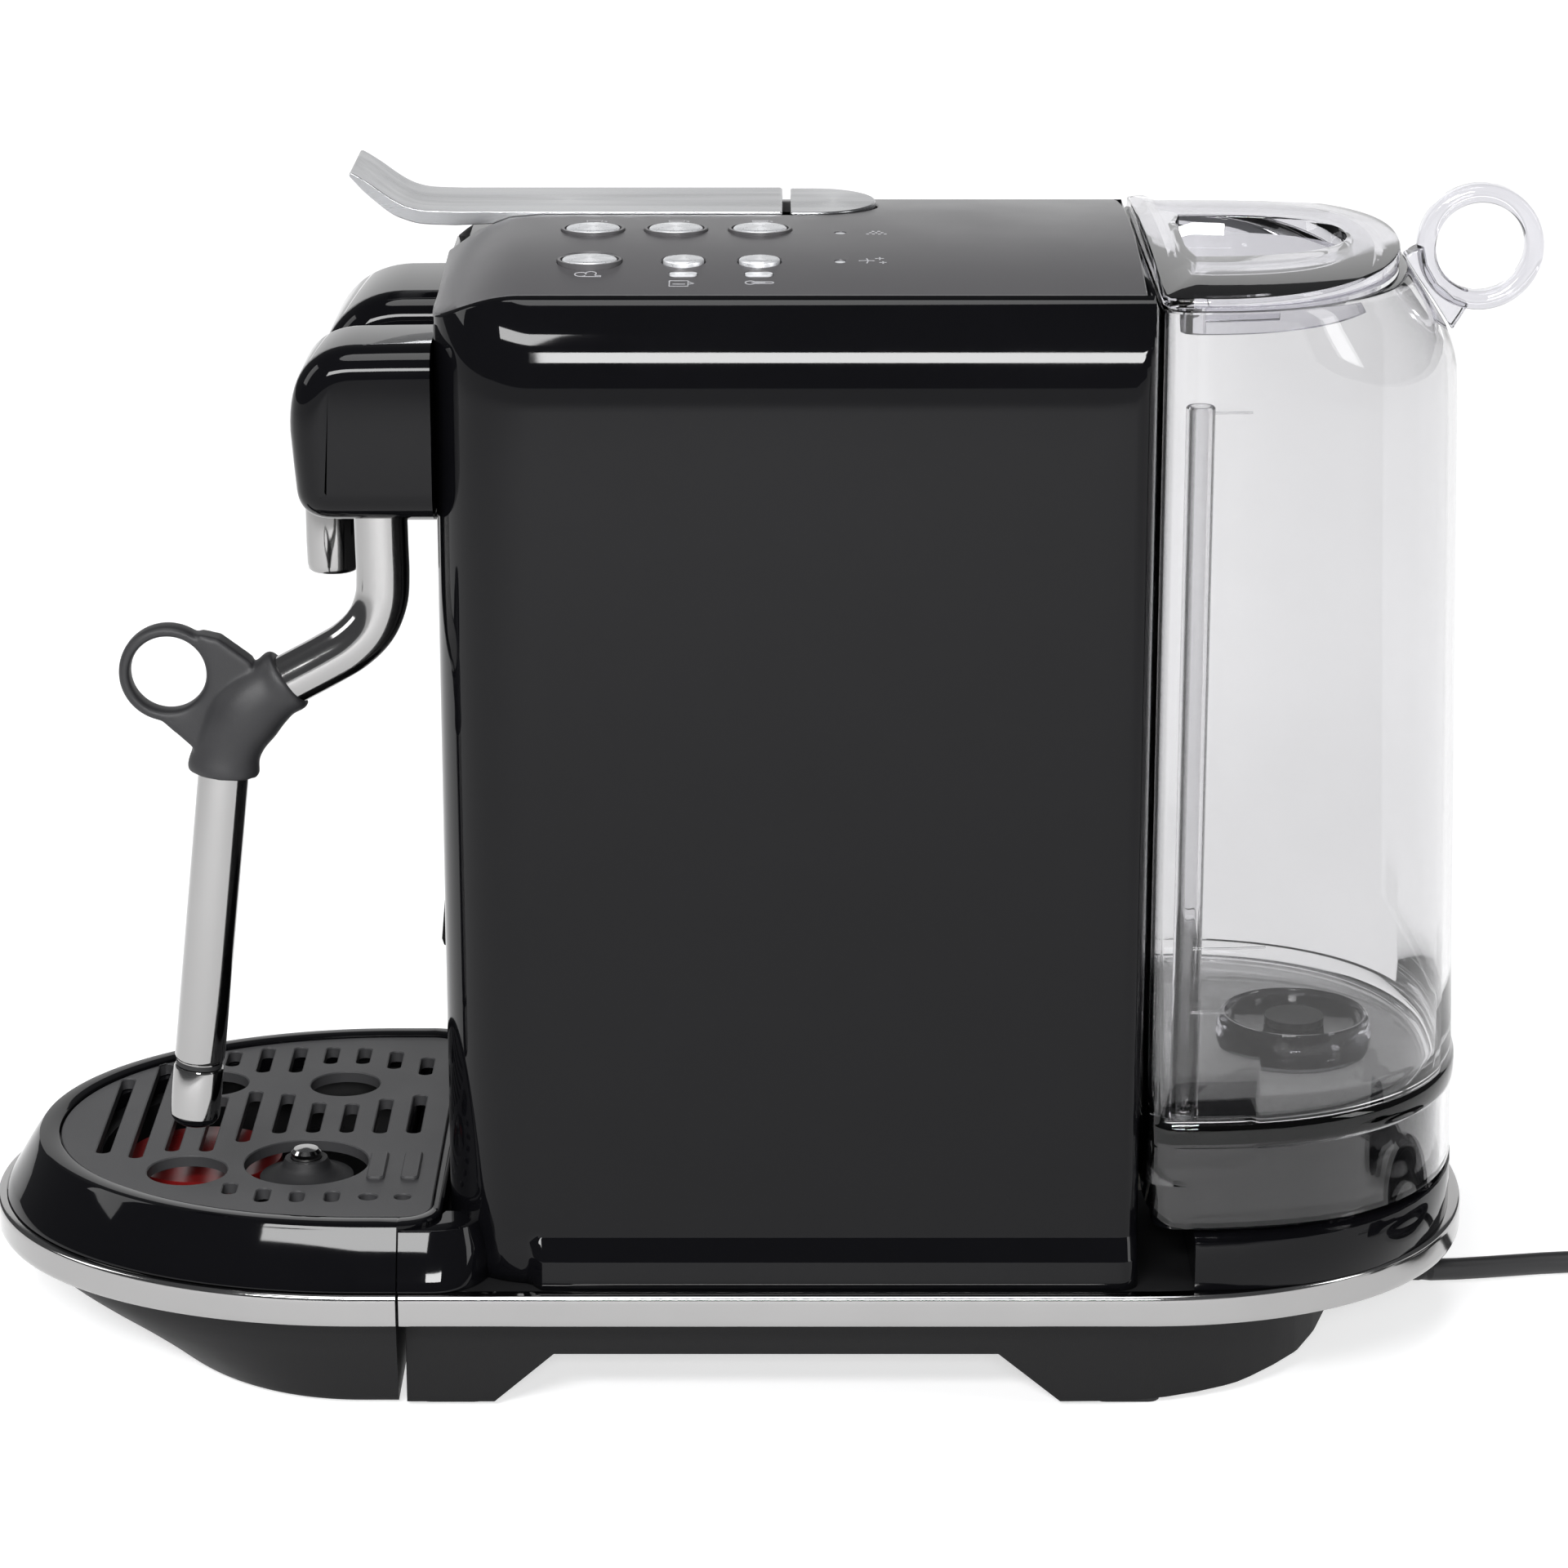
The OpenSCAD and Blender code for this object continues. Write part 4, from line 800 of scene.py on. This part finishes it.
# ---------------------------------------------------------------- tank
def tank_ring_pts(o, ys, d, w, z, y0=100.6, e=2.3, n=110, rc=8.0):
    w, d, y0 = w - o, d - o, y0 + o
    rc = max(rc - o, 1.0)
    p = [(w * sp(math.cos(math.pi * i / n), e), ys + d * sp(math.sin(math.pi * i / n), e)) for i in range(n + 1)]
    p += arc(-w + rc, y0 + rc, rc, 180, 270, 8) + [(-40, y0), (0, y0), (40, y0)] + arc(w - rc, y0 + rc, rc, 270, 360, 8)
    return [(x, y, z) for x, y in p]


def rear(z):
    t = [(40, 188.4), (76, 187.6), (140, 185.7), (255, 182.4), (262, 181.8), (266, 180.9), (271, 178.8), (276, 175.6), (281, 172.3), (287, 168.4)]
    for i in range(len(t) - 1):
        if z <= t[i + 1][0]:
            u = (z - t[i][0]) / (t[i + 1][0] - t[i][0])
            return t[i][1] * (1 - u) + t[i + 1][1] * u
    return t[-1][1]


TW = 2.4
rings = []


def skirt_edge(ring, z):
    """The lower edge of the skirt rises round the front corner."""
    out = []
    for p in ring:
        u = max(0.0, min(1.0, (112.4 - p[1]) / 11.8))
        zb = 48 + 11.4 * (1 - math.sqrt(max(0.0, 1 - u * u)))
        out.append((p[0], p[1], max(p[2], zb + (z - 48))))
    return out


for z in (48, 48.3, 59.9, 60, 70.0, 70.6, 71.4, 75.4, 76.2, 76.8, 100, 140, 180, 220, 250, 258, 262, 265, 268, 271, 274, 277, 280, 284, 286.6, 287):
    ins = {48: 0.35, 287: 0.35, 70.6: -0.5, 71.4: -0.8, 75.4: -0.8, 76.2: -0.5}.get(z, 0)
    ring = tank_ring_pts(ins, 112, rear(z) - 112, 75.4, z, y0=100.6 - min(0, ins))
    rings.append(skirt_edge(ring, z) if z < 60 else ring)
for z in (287, 284, 280, 277, 274, 271, 268, 265, 262, 258, 250, 220, 180, 140, 100, 84, 78.5, 76, 74.7, 74.1, 74):
    extra = {78.5: 0.4, 76: 1.3, 74.7: 2.5, 74.1: 4.0, 74: 5.5}.get(z, 0)
    rings.append(tank_ring_pts(TW + extra, 112, rear(z) - 112, 75.4, z))
VC = (-4.6, 147.0)


def to_circle(ring, r, z):
    out = []
    for p in ring:
        t = math.atan2(p[1] - VC[1], p[0] - VC[0])
        out.append((VC[0] + r * math.cos(t), VC[1] + r * math.sin(t), z))
    return out


base_ring = rings[-1]
rings.append(to_circle(base_ring, 15.05, 74))
rings.append(to_circle(base_ring, 15.05, 71))
for z in (71, 60, 59.9, 48.3, 48):
    ring = tank_ring_pts(TW, 112, rear(z) - 112, 75.4, z)
    rings.append(skirt_edge(ring, z) if z < 60 else ring)
v, f = grid(rings, close=True)
tank = finish_mesh("tank_vessel", v, f, "clear", "tank", ("tank",), angle=40)

rt = []
for k in range(96):
    t = 2 * math.pi * k / 96
    c_, s_ = math.cos(t), math.sin(t)
    rt.append([(3.6 * sp(math.cos(q * math.pi / 10), 4), 187.9 + (13.9 + 2.4 * sp(math.sin(q * math.pi / 10), 4)) * c_, 289.4 + (13.9 + 2.4 * sp(math.sin(q * math.pi / 10), 4)) * s_) for q in range(20)])
finish_mesh("tank_ring", *grid(rt, close=True), "clear_edge", "tank", angle=40)
v, f = along_x(-3.6, 3.6, [(168.4, 287.2), (171, 288.9), (173.2, 289.9), (174.2, 285), (177, 280.2), (181.4, 276.4), (185.2, 274.9), (183.4, 271.6), (181.2, 268.2), (176.1, 276), (172.3, 281.2)])
finish_mesh("tank_ring_web", v, f, "clear_edge", "tank", bevel=0.5, segs=2)


def wall_line(z, y0, y1, h=0.5, proud=0.3):
    pts = [p for p in tank_ring_pts(0, 112, rear(z) - 112, 75.4, z, n=400) if p[0] > 20 and y0 <= p[1] <= y1]
    pts.sort(key=lambda p: p[1])
    out = []
    for i, p in enumerate(pts):
        a_, b_ = pts[max(i - 1, 0)], pts[min(i + 1, len(pts) - 1)]
        t = Vector((b_[0] - a_[0], b_[1] - a_[1])).normalized()
        nx, ny = t[1], -t[0]
        out.append([(p[0] - nx * 0.3, p[1] - ny * 0.3, z), (p[0] + nx * proud, p[1] + ny * proud, z), (p[0] + nx * proud, p[1] + ny * proud, z + h), (p[0] - nx * 0.3, p[1] - ny * 0.3, z + h)])
    return grid(out, cap0=True, cap1=True)


rings = []
for r, z in ((3.6, 74.1), (3.6, 150), (3.6, 262), (3.2, 262.4), (2.5, 262.4), (2.1, 262), (2.1, 150), (2.1, 78), (1.2, 76.5), (0.2, 76.2)):
    rings.append([(67.4 + r * math.cos(2 * math.pi * k / 32), 111.4 + r * math.sin(2 * math.pi * k / 32), z) for k in range(32)])
finish_mesh("tank_guide_tube", *grid(rings, cap0=True, cap1=True), "clear", "tank", angle=40)
finish_mesh("level_lines", *join(wall_line(262, 113, 124), wall_line(124, 112, 131), wall_line(107, 111, 122)), "clear", "tank", angle=30)


v, f = lathe([(4.1, 63.4), (14.8, 63.4), (14.8, 73.9), (18.4, 74.1), (18.5, 78.2), (18.1, 78.6), (17.5, 78.6), (16.9, 78.2), (16.3, 76.7), (15, 76.25), (4.1, 76.25), (4.1, 63.4)], centre=(VC[0], VC[1], 0))
finish_mesh("valve_cup", v, f, "gloss_black", "tank", ("tank_valve",), angle=32)
v, f = lathe([(18.6, 74.05), (21.2, 74.05), (20.8, 76.6), (20.1, 79.2), (19.5, 79.6), (18.9, 79.5), (18.6, 79.0), (18.6, 74.05)], centre=(VC[0], VC[1], 0))
finish_mesh("valve_collar", v, f, "clear_edge", "tank", angle=40)


# lid
def lid_ring(o, z, n=96):
    w, d, y0 = 72.4 - o, 54.4 - o, 101.6 + o
    p = [(w * sp(math.cos(math.pi * i / n), 2.2), 112 + d * sp(math.sin(math.pi * i / n), 2.2)) for i in range(n + 1)]
    p += [(-w, y0 + 4), (-w + 1.2, y0 + 1.2), (-w + 4, y0), (-50, y0), (-25, y0), (0, y0), (25, y0), (50, y0), (w - 4, y0), (w - 1.2, y0 + 1.2), (w, y0 + 4)]
    return [(x, y, z + (3.0 * (1 - (x / 72.4) ** 2) if z > 289 else 0)) for x, y in p]


def dee_ring(o, z):
    shape = [((29 + o) * sp(math.cos(math.radians(3 * i)), 2.3), 115 + (38 + o) * sp(math.sin(math.radians(3 * i)), 2.3)) for i in range(61)] + [(-29 - o, 111 - o), (29 + o, 111 - o)]
    out = []
    for p in lid_ring(0, 0):
        t = math.atan2(p[1] - 128, p[0])
        d = Vector((math.cos(t), math.sin(t)))
        best = None
        for i in range(len(shape)):
            a_, b_ = Vector(shape[i]) - Vector((0, 128)), Vector(shape[(i + 1) % len(shape)]) - Vector((0, 128))
            den = d[0] * (b_ - a_)[1] - d[1] * (b_ - a_)[0]
            if abs(den) < 1e-9:
                continue
            s = (a_[0] * (b_ - a_)[1] - a_[1] * (b_ - a_)[0]) / den
            u = (a_[0] * d[1] - a_[1] * d[0]) / den
            if s > 0 and -1e-6 <= u <= 1 + 1e-6:
                best = s if best is None else min(best, s)
        x = d[0] * best
        out.append((x, 128 + d[1] * best, z + (3.0 * (1 - (x / 72.4) ** 2) if z > 289 else 0)))
    return out


rings = [lid_ring(0.3, 287.4), lid_ring(0, 287.8), lid_ring(0, 289.3), lid_ring(0.3, 289.7), lid_ring(0.9, 289.8), dee_ring(0.9, 289.8), dee_ring(0.3, 289.7), dee_ring(0, 289.2),
         dee_ring(0, 276.3), dee_ring(0.4, 276), dee_ring(1.9, 276), dee_ring(2.2, 276.3), dee_ring(2.2, 287.3), lid_ring(6.6, 287.3), lid_ring(6.6, 280.2), lid_ring(4.5, 280.2), lid_ring(4.5, 287.3)]
v, f = grid(rings, close=True)
finish_mesh("tank_cover", v, f, "clear_edge", "lid", ("tank_lid",), angle=40)

# ---------------------------------------------------------------- CAD nodes that stay
KEYS = {"base_chassis": "matte_black", "base_plate": "matte_black", "rubber_feet": "rubber", "base_screws": "steel", "front_cover": "gloss_black", "lever_channel": "gloss_black",
        "lever_pin": "steel", "button_bezels": "deck_grey", "indicator_windows": "window", "rear_base_cover": "gloss_black", "valve_socket": "valve", "wand_pin": "steel",
        "inner_frame": "steel", "water_pump": "pump", "coffee_boiler": "boiler", "steam_boiler": "boiler", "brew_chamber": "matte_black", "water_hose": "hose", "steam_pipe": "steel",
        "control_board": "board", "brew_piston": "steel", "drip_pan": "matte_black", "sensor_boot": "rubber", "sensor_cap": "chrome", "level_float": "red", "wand_tip_seal": "rubber",
        "pod_bin": "matte_black", "valve_plunger": "matte_black", "plug_pins": "steel"}
for nm, key in KEYS.items():
    o = NODES[nm]
    o.data.materials.clear()
    o.data.materials.append(M[key])
    for p in o.data.polygons:
        p.use_smooth = True
    w = o.modifiers.new("weld", "WELD")
    w.merge_threshold = 5e-6
    if nm in ("base_chassis", "front_cover", "rear_base_cover", "drip_pan", "pod_bin", "rubber_feet", "lever_channel", "coffee_boiler", "inner_frame"):
        b = o.modifiers.new("edge", "BEVEL")
        b.width, b.segments, b.limit_method, b.angle_limit = 0.35 * MM, 2, "ANGLE", math.radians(40)
    es = o.modifiers.new("sharp", "EDGE_SPLIT")
    es.split_angle = math.radians(35)
